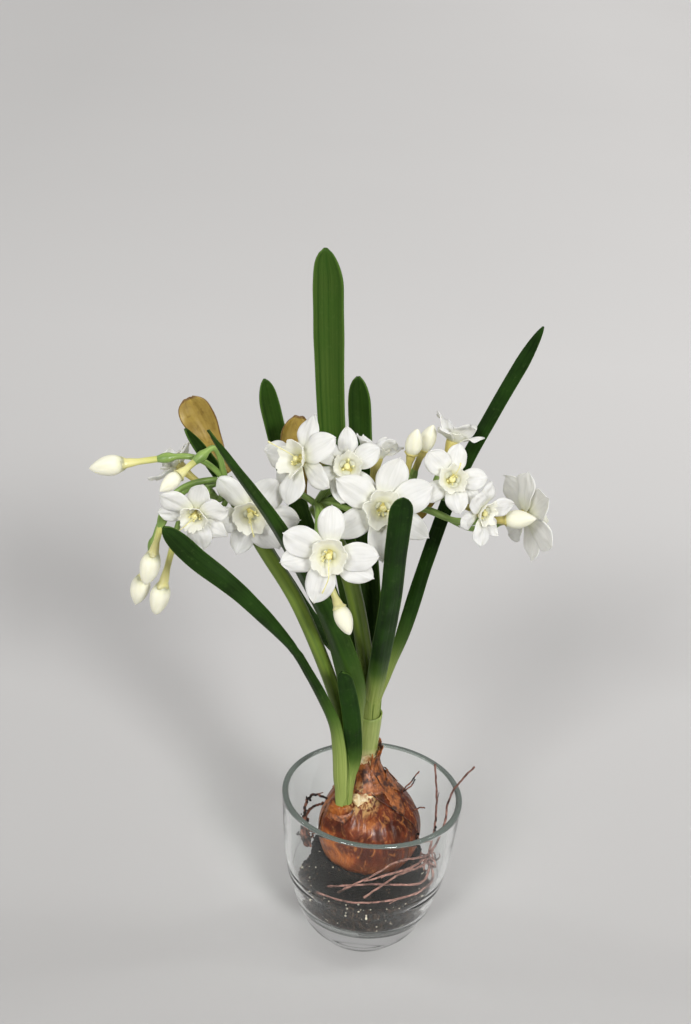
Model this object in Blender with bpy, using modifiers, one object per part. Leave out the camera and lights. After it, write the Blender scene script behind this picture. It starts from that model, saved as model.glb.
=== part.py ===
"""A paperwhite narcissus that has flowered from its bulb, standing in a clear glass vase.

World frame: the origin is the middle of the flat foot of the glass, +Z is up, and the front is -Y.
Lengths are in metres. Places along the plant are written in millimetres through mm().
"""
import math

import bmesh
import bpy
from mathutils import Matrix, Vector
from mathutils.geometry import interpolate_bezier


def mm(x, y, z):
    """A place or a direction given in millimetres."""
    return Vector((x, y, z)) * 0.001


# ---- driving dimensions -------------------------------------------------------------------
GAP = 0.0003                 # left between pieces that touch
GLASS_HEIGHT = 0.0835
GLASS_RIM_RADIUS = 0.045
GLASS_FOOT_RADIUS = 0.0215
GLASS_FLOOR = 0.0140         # thickness of the solid glass under the soil
GLASS_WALL = 0.0031
SOIL_TOP = 0.0525
SOIL_RADIUS = 0.0282
BULB_RADIUS = 0.0258
BULB_TOP = 0.103
SHOOT_CENTRE = mm(-4.5, 4, 0)  # axis of the main shoot, over the bulb's neck
SHEATH_RADIUS = 0.0056
SHEATH_TOP = 0.128
SIDE_CENTRE = mm(-14.5, -12, 0)  # axis of the side shoot, on the bulb's small offset
SIDE_TOP = 0.085
LEAF_THICKNESS = 0.0010
BRACT_THICKNESS = 0.0009
PETAL_THICKNESS = 0.0008
TUBE_LENGTH = 0.015          # narrow tube behind each bloom
OVARY_LENGTH = 0.008
OVARY_RADIUS = 0.0024
PEDICEL_RADIUS = 0.0014
SCAPE_BASE_RADIUS = 0.0015   # where the flower stems are squeezed in the sheath

# Half the outer shape of the glass: (share of the height, radius).
GLASS_OUTER = [(1.0, 0.0450), (0.55, 0.0416), (0.28, 0.0359), (0.12, 0.0302), (0.035, 0.0246)]
# The bulb's outline from its neck down: (height, radius).
BULB_OUTLINE = [(BULB_TOP, 0.0056), (0.097, 0.0068), (0.091, 0.0098), (0.085, 0.0148),
                (0.078, 0.0206), (0.071, 0.0244), (0.063, BULB_RADIUS), (0.056, 0.0250),
                (0.049, 0.0215), (0.043, 0.0150), (0.039, 0.0080)]
OFFSET_OUTLINE = [(SIDE_TOP, 0.0058), (0.080, 0.0074), (0.074, 0.0094), (0.067, 0.0098),
                  (0.058, 0.0070)]

# ---- leaves: middle line from the base, widths along it, where the tip starts, the way it faces ----
# Each faces outwards from its shoot at the base, and as given at the tip. A width is given with its
# share of the length, and point says how blunt the tip is.
MAIN_LEAVES = {
    "leaf_tall": dict(angle=106, route=[(-9, 12, 150), (-18, 17, 182), (-28, 24, 231), (-34, 27, 270),
                                        (-38, 27, 313), (-41, 24, 354)],
                      widths=[(0.42, 12.2), (0.62, 12.8), (0.85, 14.2)], face=(0.05, 1, 0.1),
                      tip=0.91, point=2.6),
    "leaf_back_left": dict(angle=165, route=[(-14, 15, 146), (-25, 25, 168), (-43, 37, 208),
                                             (-57, 42, 245), (-67.5, 40, 283)],
                           widths=[(0.42, 9.6)], face=(-0.3, 1, 0.1), tip=0.91, point=2.6),
    "leaf_back_right": dict(angle=38, route=[(-2.5, 12, 150), (-8, 19, 177), (-16, 32, 228),
                                             (-20, 37, 262), (-23, 38, 289)],
                            widths=[(0.42, 11.0)], face=(0.1, 1, 0.1), tip=0.91, point=2.6),
    "leaf_right": dict(angle=-22, route=[(3, 5, 148), (8, 8, 170), (16, 15, 208), (28, 26, 246),
                                         (42, 28, 281), (58, 25, 325)],
                       widths=[(0.42, 6.9), (0.80, 6.7)], face=(0.35, 1, -0.3), tip=0.90, point=1.5),
    "leaf_front": dict(angle=-80, route=[(-3, -5, 148), (-2, -15, 173), (-0.5, -28, 208),
                                         (-0.5, -38, 240), (0, -43.5, 267)],
                       widths=[(0.36, 10.6)], face=(0.1, -1, 0.1), tip=0.93, point=2.6),
    "leaf_left_slim": dict(angle=-138, route=[(-12, 2, 140), (-23, 7, 156), (-39, 11, 177),
                                              (-57, 13, 203), (-74, 12.5, 230), (-88, 6, 254),
                                              (-99, -2, 273)],
                           widths=[(0.42, 6.0)], face=(-0.5, 1, -0.4), tip=0.86, point=2.2),
}
SIDE_LEAVES = {
    "leaf_crossing": dict(angle=-10, route=[(-9, -13, 112), (-10, -14, 132), (-15, -15, 153),
                                            (-26, -18, 182), (-40, -23, 212), (-56, -32, 244),
                                            (-71, -39, 269), (-85, -43, 291)],
                          widths=[(0.30, 14.5)], face=(-0.35, -1, 0.3), tip=0.42, point=1.1),
    "leaf_low_left": dict(angle=165, route=[(-19.5, -12.5, 100), (-20, -15, 116), (-22, -17.5, 132),
                                            (-27.5, -19.5, 146), (-35, -21.5, 161), (-44.5, -23.5, 177),
                                            (-63.5, -27, 199.5), (-76, -29.5, 212), (-90, -31.5, 224),
                                            (-104, -34, 239)],
                          widths=[(0.12, 5.6), (0.32, 5.2), (0.50, 4.8), (0.66, 7.6), (0.88, 9.8)],
                          face=(-0.3, -1, 0.6), tip=0.91, point=2.6),
    "leaf_short": dict(angle=-80, route=[(-14, -19, 113), (-16, -22, 140), (-20, -24, 166)],
                       widths=[(0.40, 9.2), (0.75, 8.8), (1.0, 7.4)], face=(0.1, -1, 0.2), tip=0.90,
                       point=2.2),
}
LEAF_BASE_WIDTH = 0.0036
LEAF_BASE_RING = 0.0043      # distance of the leaf bases from the shoot's axis
LEAF_LIFT = 0.0008           # of a leaf's slanting foot above what it grows from

# ---- flower stems: route from the base and radius where they are free ------------------------
SCAPES = {
    "umbel_left": dict(route=[(-14.5, -12, 85.3), (-15, -10, 105), (-21, -5, 137), (-42, -1, 185),
                              (-62, 0, 217), (-80, 0, 248)], radius=0.0033),
    "umbel_middle": dict(route=[(-6.1, 4, 128), (-7, 3.5, 140), (-11, 1, 168), (-19, 0, 200),
                                (-28, 1, 222), (-38, 3, 238)], radius=0.0038),
    "umbel_right": dict(route=[(-2.9, 4, 128), (-2.5, 4, 140), (0, 2, 167), (2, 1, 206), (2, 4, 238)],
                        radius=0.0031),
}

# ---- blooms: place of the petal plane, the way it faces, petal length, cupping in degrees ------
# turns are the petals' places round the bloom, in degrees from its right-hand side.
EVEN = (30, 90, 150, 210, 270, 330)
BLOOMS = {
    "umbel_left": {
        "bloom_left_front": dict(at=(-91, -20, 240), face=(-0.15, -1, -0.15), petal=18.5, cup=8,
                                 turns=(29, 80, 145, 185, 283, 326)),
        "bloom_left_back": dict(at=(-103, 14, 247), face=(-0.8, 0.3, 0.5), petal=16, cup=20, turns=EVEN),
    },
    "umbel_middle": {
        "bloom_left_large": dict(at=(-67, -8, 237), face=(-0.05, -1, -0.02), petal=23, cup=4,
                                 turns=(55, 130, 200, 257, 307, 357)),
        "bloom_middle_side": dict(at=(-46, -10, 266), face=(-0.7, -0.62, 0.35), petal=22, cup=0,
                                  turns=(45, 100, 190, 235, 285, 345)),
        "bloom_middle_upper": dict(at=(-25, -6, 262), face=(-0.05, -0.8, 0.6), petal=17, cup=14,
                                   turns=(35, 95, 150, 215, 265, 320)),
        "bloom_middle_large": dict(at=(-8, -18, 249), face=(0.1, -0.93, 0.38), petal=25, cup=4,
                                   turns=(23, 77, 148, 209, 272, 330)),
        "bloom_middle_front": dict(at=(-30, -44, 237), face=(0, -0.95, 0.25), petal=22.5, cup=2,
                                   turns=(0, 90, 155, 195, 256, 336)),
        "bloom_middle_back": dict(at=(-12, 9, 261), face=(0.1, 0.3, 0.9), petal=15, cup=20, turns=EVEN),
    },
    "umbel_right": {
        "bloom_right_upper": dict(at=(22, -10, 262), face=(0.05, -0.87, 0.48), petal=16, cup=10,
                                  turns=(2, 80, 132, 217, 285, 325)),
        "bloom_right_lower": dict(at=(37, -10, 247), face=(0.65, -0.7, 0.1), petal=13, cup=14,
                                  turns=(10, 75, 130, 190, 245, 305)),
        "bloom_right_side": dict(at=(60, 18, 234), face=(0.8, 0.45, 0.12), petal=24, cup=0, turns=EVEN),
        "bloom_right_back": dict(at=(22, 12, 271), face=(0.3, 0.5, 0.8), petal=14, cup=25, turns=EVEN),
    },
}
# ---- buds: where the tube starts, and the tip -----------------------------------------------
BUDS = {
    "umbel_left": {
        "bud_left_far": ((-110, -6, 259), (-141, -9, 253)),
        "bud_left_near": ((-93, -12, 262), (-107, -25, 252)),
        "bud_hanging_outer": ((-108, -9, 227), (-114, -13, 198)),
        "bud_hanging_low": ((-114, 6, 206), (-121, 6, 176)),
        "bud_hanging_inner": ((-103, -3, 214), (-110, -5, 178)),
        "bud_left_small": ((-84, 6, 225), (-91, 4, 209)),
    },
    "umbel_middle": {
        "bud_middle_front": ((-29, -31, 216), (-18, -41, 196)),
    },
    "umbel_right": {
        "bud_right_upper": ((2, 1, 258), (5, 0, 283)),
        "bud_right_upper_back": ((6, 10, 256), (13, 11, 281)),
        "bud_right_side": ((37, 0, 238), (63, -2, 242)),
    },
}
# ---- the dry papery bracts at the head of each stem ---------------------------------------------
BRACTS = {
    "bract_left": dict(route=[(-79, 17, 245), (-88, 18.5, 255), (-93.5, 20, 266), (-100, 20, 279)],
                       widths=[(0.40, 12.5), (0.70, 17)], base=4, tip=0.70, face=(0, 1, 0)),
    "bract_middle": dict(route=[(-45, 15, 235), (-48.5, 19, 248), (-49.5, 21, 261), (-49, 21, 274)],
                         widths=[(0.40, 12.5), (0.70, 16)], base=5, tip=0.70, face=(0, 1, 0)),
    "bract_right": dict(route=[(5, 14, 230), (10, 16, 237), (17, 17, 246)],
                        widths=[(0.20, 12)], base=8, tip=0.20, face=(0, 1, 0)),
}
# ---- dry roots, each strand from the knot outwards -----------------------------------------------
ROOT_RADIUS = 0.0007
RIGHT_KNOT = (31, -7, 53.5)
RIGHT_ROOTS = [
    [RIGHT_KNOT, (33, 0, 64), (32.5, 2, 80), (31, 4, 92), (30, 5, 99)],
    [RIGHT_KNOT, (36, -1, 58), (38, 1, 70), (38.5, 1.5, 80), (41.5, 1, 90), (49, 0, 103)],
    [RIGHT_KNOT, (26, -18, 60), (14, -28, 64), (4, -31, 58), (-13, -31, 45)],
    [RIGHT_KNOT, (23, -20.5, 56.5), (14, -28, 57.5), (-1, -31, 53)],
    [RIGHT_KNOT, (27, -17, 54.5), (17, -27.5, 57), (11, -30, 54), (-0.6, -32, 44)],
    [RIGHT_KNOT, (30.5, -15, 49), (24, -25.5, 49.5), (4, -31.5, 52), (-18, -30, 47.5)],
    [RIGHT_KNOT, (33, -14, 45.5), (27, -22.5, 43.5), (18, -28.5, 43), (4, -32, 41.5), (-10, -31.5, 40.5),
     (-23, -27, 41)],
]
LEFT_KNOT = (-30, -8, 54)
LEFT_FORK = (-32.5, -9, 68)
LEFT_ROOTS = [
    [LEFT_KNOT, (-32.5, -8, 60), LEFT_FORK, (-33, -8, 76), (-32, -8, 81), (-29.5, -9, 85), (-26, -12, 87),
     (-22.5, -15, 88)],
    [LEFT_KNOT, (-31.5, -9, 61), LEFT_FORK, (-31, -9, 75), (-28, -11, 80), (-24, -14, 84)],
    [LEFT_KNOT, (-33, -6, 60), (-31, -4, 67)],
]

MODEL = "narcissus_in_glass"
HELPERS = "joining"


# ---- helpers ----------------------------------------------------------------------------------
def clear_scene():
    for item in list(bpy.data.objects):
        bpy.data.objects.remove(item)


def make_collection(name):
    group = bpy.data.collections.new(name)
    bpy.context.scene.collection.children.link(group)
    return group


def material(name, colour, roughness, transmission=0.0):
    made = bpy.data.materials.new(name)
    made.use_nodes = True
    shader = made.node_tree.nodes["Principled BSDF"]
    shader.inputs["Base Color"].default_value = (*colour, 1)
    shader.inputs["Roughness"].default_value = roughness
    shader.inputs["Metallic"].default_value = 0.0
    shader.inputs["Transmission Weight"].default_value = transmission
    return made


def add_object(name, data, group, finish=None):
    item = bpy.data.objects.new(name, data)
    group.objects.link(item)
    if finish:
        data.materials.clear()
        data.materials.append(finish)
    return item


def evaluated_mesh(item):
    """The item's mesh with its modifiers applied and its doubles merged; the item is removed."""
    bpy.context.view_layer.update()
    graph = bpy.context.evaluated_depsgraph_get()
    data = bpy.data.meshes.new_from_object(item.evaluated_get(graph))
    data.transform(item.matrix_world)
    work = bmesh.new()
    work.from_mesh(data)
    bmesh.ops.remove_doubles(work, verts=work.verts, dist=1e-6)
    work.to_mesh(data)
    work.free()
    bpy.data.objects.remove(item)
    return data


def turned_mesh(outline, steps, reshape=None):
    """A closed turned form. The outline lists (radius, height) from top to bottom."""
    data = bpy.data.meshes.new("outline")
    corners = [(radius, 0, height) for radius, height in outline]
    edges = [(i, i + 1) for i in range(len(corners) - 1)]
    data.from_pydata(corners, edges, [])
    item = add_object("turning", data, helpers)
    screw = item.modifiers.new("Screw", "SCREW")
    screw.steps = steps
    screw.render_steps = steps
    screw.use_merge_vertices = True
    screw.merge_threshold = 1e-6
    made = evaluated_mesh(item)
    if reshape:
        for corner in made.vertices:
            corner.co = reshape(corner.co)
    return made


def spline_points(route, count):
    """Points at equal shares of a smooth curve through the route (Catmull-Rom)."""
    padded = [2 * route[0] - route[1], *route, 2 * route[-1] - route[-2]]
    fine = []
    for i in range(len(route) - 1):
        a, b, c, d = padded[i:i + 4]
        for k in range(24):
            t = k / 24
            fine.append(0.5 * (2 * b + (c - a) * t + (2 * a - 5 * b + 4 * c - d) * t ** 2
                               + (3 * b - a - 3 * c + d) * t ** 3))
    fine.append(route[-1].copy())
    lengths = [0.0]
    for before, after in zip(fine, fine[1:]):
        lengths.append(lengths[-1] + (after - before).length)
    points = []
    segment = 0
    for k in range(count):
        wanted = lengths[-1] * k / (count - 1)
        while segment < len(fine) - 2 and lengths[segment + 1] < wanted:
            segment += 1
        span = lengths[segment + 1] - lengths[segment]
        points.append(fine[segment].lerp(fine[segment + 1], (wanted - lengths[segment]) / span))
    return points


def ease(value):
    value = min(max(value, 0.0), 1.0)
    return value * value * (3 - 2 * value)


def between(widths, base, share):
    """A width in metres, eased from the base width through the (share, millimetres) given."""
    before, first = 0.0, base
    for place, wide in widths:
        second = wide * 0.001
        if share <= place:
            return first + (second - first) * ease((share - before) / (place - before))
        before, first = place, second
    return first


def tube_mesh(points, radii, resolution=1):
    """A tube through the points with its own radius at each, closed at both ends."""
    curve = bpy.data.curves.new("tube", "CURVE")
    curve.dimensions = "3D"
    curve.bevel_depth = 1.0
    curve.bevel_resolution = resolution
    curve.use_fill_caps = True
    curve.twist_mode = "MINIMUM"
    spline = curve.splines.new("POLY")
    spline.points.add(len(points) - 1)
    for target, place, radius in zip(spline.points, points, radii):
        target.co = (*place, 1)
        target.radius = radius
    item = add_object("tube", curve, helpers)
    return evaluated_mesh(item)


def fused(name, meshes, finish, solver="EXACT"):
    """One solid from overlapping meshes, in one Boolean union on a collection."""
    joining = make_collection("fusing")
    for data in meshes[1:]:
        add_object("piece", data, joining)
    item = add_object(name, meshes[0], helpers)
    union = item.modifiers.new("Union", "BOOLEAN")
    union.operation = "UNION"
    union.operand_type = "COLLECTION"
    union.collection = joining
    union.solver = solver
    data = evaluated_mesh(item)
    for piece in list(joining.objects):
        bpy.data.objects.remove(piece)
    bpy.data.collections.remove(joining)
    data.name = name
    return add_object(name, data, model, finish)


def turned(name, outline, steps, finish):
    data = turned_mesh(outline, steps)
    data.name = name
    item = add_object(name, data, model, finish)
    data.shade_smooth()
    data.set_sharp_from_angle(angle=math.radians(40))
    return item


def blade(name, route, width_at, faces, cups, thickness, finish, across=4, along=11):
    """A bent blade: a grid laid along the route, each cross-section an arc, then given thickness.

    faces are the outward directions at the base and at the tip; the blade's edges curl away
    from them. cups are the curvatures (1 / radius) of the cross-section there.
    """
    points = spline_points(route, along + 1)
    work = bmesh.new()
    bmesh.ops.create_grid(work, x_segments=across, y_segments=along, size=0.5)
    for corner in work.verts:
        share = corner.co.y + 0.5
        index = round(share * along)
        ahead = points[min(index + 1, along)] - points[max(index - 1, 0)]
        tangent = ahead.normalized()
        face = faces[0].lerp(faces[1], ease(share / 0.45))
        side = tangent.cross(face).normalized()
        face = side.cross(tangent)
        curve = cups[0] + (cups[1] - cups[0]) * ease(share / 0.4)
        angle = corner.co.x * width_at(share) * curve
        corner.co = points[index] + side * (math.sin(angle) / curve) - face * ((1 - math.cos(angle)) / curve)
    bmesh.ops.triangulate(work, faces=work.faces)
    data = bpy.data.meshes.new(name)
    work.to_mesh(data)
    work.free()
    item = add_object("sheet", data, helpers)
    solid = item.modifiers.new("Solidify", "SOLIDIFY")
    solid.thickness = thickness
    solid.offset = 0
    made = evaluated_mesh(item)
    made.name = name
    return add_object(name, made, model, finish)


# ---- the vase, the soil and the bulb ---------------------------------------------------------
def glass_radius(height):
    """Inner radius of the glass at a height."""
    shares = sorted(GLASS_OUTER)
    share = height / GLASS_HEIGHT
    for (low, low_radius), (high, high_radius) in zip(shares, shares[1:]):
        if share <= high:
            return low_radius + (high_radius - low_radius) * (share - low) / (high - low) - GLASS_WALL
    return GLASS_RIM_RADIUS - GLASS_WALL


def make_glass(finish):
    outer = [(radius, share * GLASS_HEIGHT) for share, radius in GLASS_OUTER]
    outer += [(GLASS_FOOT_RADIUS + 0.0014, 0.0008), (GLASS_FOOT_RADIUS, 0.0)]
    floor = [(0.0, GLASS_FLOOR), (0.018, GLASS_FLOOR + 0.0006), (0.0245, GLASS_FLOOR + 0.004)]
    inner = [(glass_radius(height), height) for height in (0.0215, 0.031, 0.046, 0.064)]
    rim = [(GLASS_RIM_RADIUS - GLASS_WALL, GLASS_HEIGHT - 0.0012),
           (GLASS_RIM_RADIUS - GLASS_WALL + 0.0008, GLASS_HEIGHT),
           (GLASS_RIM_RADIUS - 0.0008, GLASS_HEIGHT),
           (GLASS_RIM_RADIUS, GLASS_HEIGHT - 0.0012)]
    turned("glass", floor + inner + rim + outer[1:] + [(0.0, 0.0)], 32, finish)


def make_soil(finish):
    outline = [(0.0, 0.0380), (0.0085, 0.0383), (0.0160, 0.0424), (0.0222, 0.0490),
               (0.0240, SOIL_TOP - 0.0007), (0.0262, SOIL_TOP), (SOIL_RADIUS, SOIL_TOP - 0.003),
               (SOIL_RADIUS + 0.0004, 0.030), (SOIL_RADIUS - 0.0006, 0.0250),
               (SOIL_RADIUS + 0.0008, 0.0226), (0.0275, GLASS_FLOOR + 0.0064),
               (0.0222, GLASS_FLOOR + 0.0032), (0.0160, GLASS_FLOOR + 0.0011),
               (0.0, GLASS_FLOOR + 0.0004)]
    turned("soil", outline, 20, finish)


def make_bulb(finish):
    body = turned_mesh([(0.0, BULB_TOP)] + [(r, z) for z, r in BULB_OUTLINE] + [(0.0, 0.039)], 24)
    lean = SHOOT_CENTRE

    def shifted(place):
        share = ease((place.z - 0.070) / (BULB_TOP - 0.070))
        return Vector((place.x + lean.x * share, place.y + lean.y * share, place.z))

    for corner in body.vertices:
        corner.co = shifted(corner.co)
    offset = turned_mesh([(0.0, SIDE_TOP)] + [(r, z) for z, r in OFFSET_OUTLINE] + [(0.0, 0.058)], 16)
    offset.transform(Matrix.Translation(SIDE_CENTRE))
    fused("bulb", [body, offset], finish)


def make_sheath(finish):
    low = BULB_TOP + GAP
    outline = [(0.0, SHEATH_TOP - GAP), (SHEATH_RADIUS - 0.0004, SHEATH_TOP - GAP),
               (SHEATH_RADIUS, SHEATH_TOP - 0.0010), (SHEATH_RADIUS - 0.0007, 0.114),
               (SHEATH_RADIUS - 0.0008, low), (0.0, low)]
    data = turned_mesh(outline, 20)
    data.transform(Matrix.Translation(SHOOT_CENTRE))
    data.name = "neck_sheath"
    add_object("neck_sheath", data, model, finish)


# ---- leaves and bracts --------------------------------------------------------------------------
def make_leaf(name, spec, centre, floor, finish):
    angle = math.radians(spec["angle"])
    outward = Vector((math.cos(angle), math.sin(angle), 0))
    base = centre + outward * LEAF_BASE_RING
    route = [base + Vector((0, 0, floor)), base + Vector((0, 0, floor + 0.006))]
    route += [mm(*place) for place in spec["route"]]
    tip, point = spec["tip"], spec["point"]

    def width_at(share):
        width = between(spec["widths"], LEAF_BASE_WIDTH, share)
        if share > tip:
            used = (share - tip) / (1 - tip)
            width *= max(0.14, 1 - used ** point) ** 0.6
        return width

    faces = (outward, Vector(spec["face"]).normalized())
    blade(name, route, width_at, faces, (1 / LEAF_BASE_RING, 1 / 0.016), LEAF_THICKNESS, finish)


def make_bract(name, spec, finish):
    tip = spec["tip"]

    def width_at(share):
        width = between(spec["widths"], spec["base"] * 0.001, share)
        if share > tip:
            width *= max(0.25, 1 - ((share - tip) / (1 - tip)) ** 2)
        return width

    face = Vector(spec["face"])
    route = [mm(*place) for place in spec["route"]]
    blade(name, route, width_at, (face, face), (1 / 0.012, 1 / 0.014), BRACT_THICKNESS, finish, along=8)


# ---- blooms ---------------------------------------------------------------------------------------
def placing(at, face):
    """The matrix that takes a flower modelled on +Z to its place, facing its way."""
    turn = face.to_track_quat("Z", "Y").to_matrix().to_4x4()
    return Matrix.Translation(at) @ turn


def petal_mesh(length, width, lift, height, turn):
    """One petal on a 2 by 3 grid: narrow at the tube, widest past the middle, with a short point."""
    work = bmesh.new()
    bmesh.ops.create_grid(work, x_segments=2, y_segments=3, size=0.5)
    for corner in work.verts:
        share = corner.co.y + 0.5
        half = width * math.sin(math.pi * (0.06 + 0.91 * share ** 0.9)) ** 0.8
        reach = 0.0016 + (length - 0.0016) * share
        across = corner.co.x * half
        arch = math.sin(math.pi * share) * 0.06 * length
        rise = height + reach * math.sin(lift) + arch - abs(across) * 0.10
        corner.co = Vector((across, reach * math.cos(lift), rise))
    bmesh.ops.triangulate(work, faces=work.faces)
    bmesh.ops.rotate(work, verts=work.verts, matrix=Matrix.Rotation(turn, 3, "Z"))
    data = bpy.data.meshes.new("petal")
    work.to_mesh(data)
    work.free()
    item = add_object("petal", data, helpers)
    solid = item.modifiers.new("Solidify", "SOLIDIFY")
    solid.thickness = PETAL_THICKNESS
    solid.offset = 0
    return evaluated_mesh(item)


def corona_mesh(size):
    """The cup in the middle of a bloom, with its narrow tube behind it, as one turned form."""
    rim = 0.40 * size
    deep = 0.36 * size
    wall = 0.0009
    outline = [(0.0, 0.0012), (0.0020, 0.0014), (rim * 0.62, deep * 0.52), (rim - wall, deep),
               (rim, deep - 0.0003), (rim * 0.62 + wall, deep * 0.42), (0.0030, -0.0016),
               (0.0014, -TUBE_LENGTH), (0.0, -TUBE_LENGTH)]

    def lobed(place):
        angle = math.atan2(place.y, place.x)
        share = ease(place.z / deep)
        scale = 1 + 0.06 * share * math.cos(5 * angle)
        return Vector((place.x * scale, place.y * scale, place.z))

    return turned_mesh(outline, 10, lobed)


def pistil_mesh(size):
    top = 0.30 * size
    return turned_mesh([(0.0, top), (0.0011, top - 0.0014), (0.0007, top - 0.0028), (0.0007, -0.0004),
                        (0.0, -0.0004)], 5)


def make_bloom(name, spec, finish):
    length = spec["petal"] * 0.001
    face = Vector(spec["face"]).normalized()
    cup_size = min(length, 0.0235)
    pieces = [corona_mesh(cup_size), pistil_mesh(cup_size)]
    for index, turn in enumerate(spec["turns"]):
        inner = index % 2 == 0
        lift = math.radians(spec["cup"] + (3 if inner else -3))
        height = 0.0006 if inner else -0.0008
        width = length * (0.60 if inner else 0.52)
        pieces.append(petal_mesh(length, width, lift, height, math.radians(turn - 90)))
    place = placing(mm(*spec["at"]), face)
    for piece in pieces:
        piece.transform(place)
    # The Exact solver leaves slivers where petals lie along each other.
    fused(name, pieces, finish, "MANIFOLD")


def make_bud(name, start, tip, finish):
    start, tip = mm(*start), mm(*tip)
    whole = (tip - start).length
    head = min(0.0155, whole * 0.54)
    fat = head * 0.30
    outline = [(0.0, whole), (fat * 0.36, whole - head * 0.10), (fat * 0.80, whole - head * 0.33),
               (fat, whole - head * 0.60), (fat * 0.88, whole - head * 0.86), (0.0030, whole - head),
               (0.0025, whole - head * 1.12), (0.0015, (whole - head) * 0.45), (0.0014, 0.0), (0.0, 0.0)]
    data = turned_mesh(outline, 8)
    data.transform(placing(start, (tip - start).normalized()))
    data.name = name
    add_object(name, data, model, finish)


# ---- flower stems, each with its pedicels and ovaries ----------------------------------------------
def pedicel_mesh(joint, start, face, spread):
    """A pedicel from the head of the stem that swells to the ovary under a flower's tube."""
    end = start - face * GAP
    neck = end - face * OVARY_LENGTH
    reach = (neck - joint).length
    points = interpolate_bezier(joint, joint + spread * reach * 0.45, neck - face * reach * 0.35, neck, 4)
    radii = [PEDICEL_RADIUS] * 4
    for share, radius in ((0.40, 1.0), (0.75, 0.9), (1.0, 0.62)):
        points.append(neck.lerp(end, share))
        radii.append(OVARY_RADIUS * radius)
    return tube_mesh(points, radii)


def make_umbel(name, spec, finish):
    route = [mm(*place) for place in spec["route"]]
    count = 12
    points = spline_points(route, count)
    radii = []
    for index in range(count):
        share = index / (count - 1)
        radii.append(SCAPE_BASE_RADIUS + (spec["radius"] - SCAPE_BASE_RADIUS) * ease(share / 0.35))
    joint = points[-1]
    pieces = [tube_mesh(points, radii, 2)]
    knob = turned_mesh([(0.0, 0.0046), (0.0030, 0.0030), (0.0044, 0.0), (0.0036, -0.0030), (0.0, -0.0050)], 8)
    knob.transform(Matrix.Translation(joint))
    pieces.append(knob)
    flowers = []
    for bloom in BLOOMS[name].values():
        face = Vector(bloom["face"]).normalized()
        flowers.append((mm(*bloom["at"]) - face * TUBE_LENGTH, face))
    for start, tip in BUDS[name].values():
        face = (mm(*tip) - mm(*start)).normalized()
        flowers.append((mm(*start), face))
    for start, face in flowers:
        spread = (start - face * OVARY_LENGTH - joint).normalized()
        spread = (spread + Vector((0, 0, 0.6))).normalized()
        pieces.append(pedicel_mesh(joint, start, face, spread))
    fused(name, pieces, finish)


# ---- roots --------------------------------------------------------------------------------------
def make_roots(name, strands, finish):
    pieces = []
    start = mm(*strands[0][0])
    knot = turned_mesh([(0.0, 0.0024), (0.0020, 0.0012), (0.0024, -0.0006), (0.0014, -0.0022),
                        (0.0, -0.0026)], 7)
    knot.transform(Matrix.Translation(start))
    pieces.append(knot)
    for strand in strands:
        route = [mm(*place) for place in strand]
        count = len(route) + 3
        radii = [ROOT_RADIUS * (1 - 0.35 * index / (count - 1)) for index in range(count)]
        pieces.append(tube_mesh(spline_points(route, count), radii, 0))
    fused(name, pieces, finish)


# ---- build --------------------------------------------------------------------------------------
clear_scene()
model = make_collection(MODEL)
helpers = make_collection(HELPERS)

clear_glass = material("clear_glass", (0.93, 0.96, 0.95), 0.02, 1.0)
dark_soil = material("dark_soil", (0.022, 0.020, 0.015), 0.95)
bulb_skin = material("bulb_skin", (0.24, 0.075, 0.022), 0.35)
pale_green = material("pale_green", (0.42, 0.50, 0.20), 0.45)
leaf_green = material("leaf_green", (0.018, 0.075, 0.016), 0.42)
stem_green = material("stem_green", (0.10, 0.17, 0.025), 0.45)
bract_brown = material("bract_brown", (0.33, 0.20, 0.04), 0.55)
petal_white = material("petal_white", (0.86, 0.87, 0.84), 0.55)
bud_cream = material("bud_cream", (0.80, 0.80, 0.62), 0.50)
dry_root = material("dry_root", (0.20, 0.095, 0.07), 0.80)

make_glass(clear_glass)
make_soil(dark_soil)
make_bulb(bulb_skin)
make_sheath(pale_green)
for leaf_name, leaf_spec in MAIN_LEAVES.items():
    make_leaf(leaf_name, leaf_spec, SHOOT_CENTRE, SHEATH_TOP + LEAF_LIFT, leaf_green)
for leaf_name, leaf_spec in SIDE_LEAVES.items():
    make_leaf(leaf_name, leaf_spec, SIDE_CENTRE, SIDE_TOP + LEAF_LIFT, leaf_green)
for umbel_name, umbel_spec in SCAPES.items():
    make_umbel(umbel_name, umbel_spec, stem_green)
    for bloom_name, bloom_spec in BLOOMS[umbel_name].items():
        make_bloom(bloom_name, bloom_spec, petal_white)
    for bud_name, (bud_start, bud_tip) in BUDS[umbel_name].items():
        make_bud(bud_name, bud_start, bud_tip, bud_cream)
for bract_name, bract_spec in BRACTS.items():
    make_bract(bract_name, bract_spec, bract_brown)
make_roots("roots_right", RIGHT_ROOTS, dry_root)
make_roots("roots_left", LEFT_ROOTS, dry_root)
bpy.data.collections.remove(helpers)
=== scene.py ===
# %% [markdown]
# # A paperwhite narcissus growing from its bulb in a glass vase
#
# The plant stands in a clear glass: a round brown bulb on a plug of dark soil, two shoots of strap
# leaves, three flower stems with their umbels, and the dry roots that have slipped down inside the
# glass. A measured model of the whole plant is already there as the frame. This lesson builds the
# visible surface of every piece round that frame, one kind of piece at a time, and gives each its
# own finish. All lengths are in metres; places along the plant are written in millimetres.

# %% Load the frame
import math
import random

import bmesh
import bpy
from mathutils import Matrix, Vector, noise
from mathutils.bvhtree import BVHTree
from mathutils.geometry import interpolate_bezier


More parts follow.
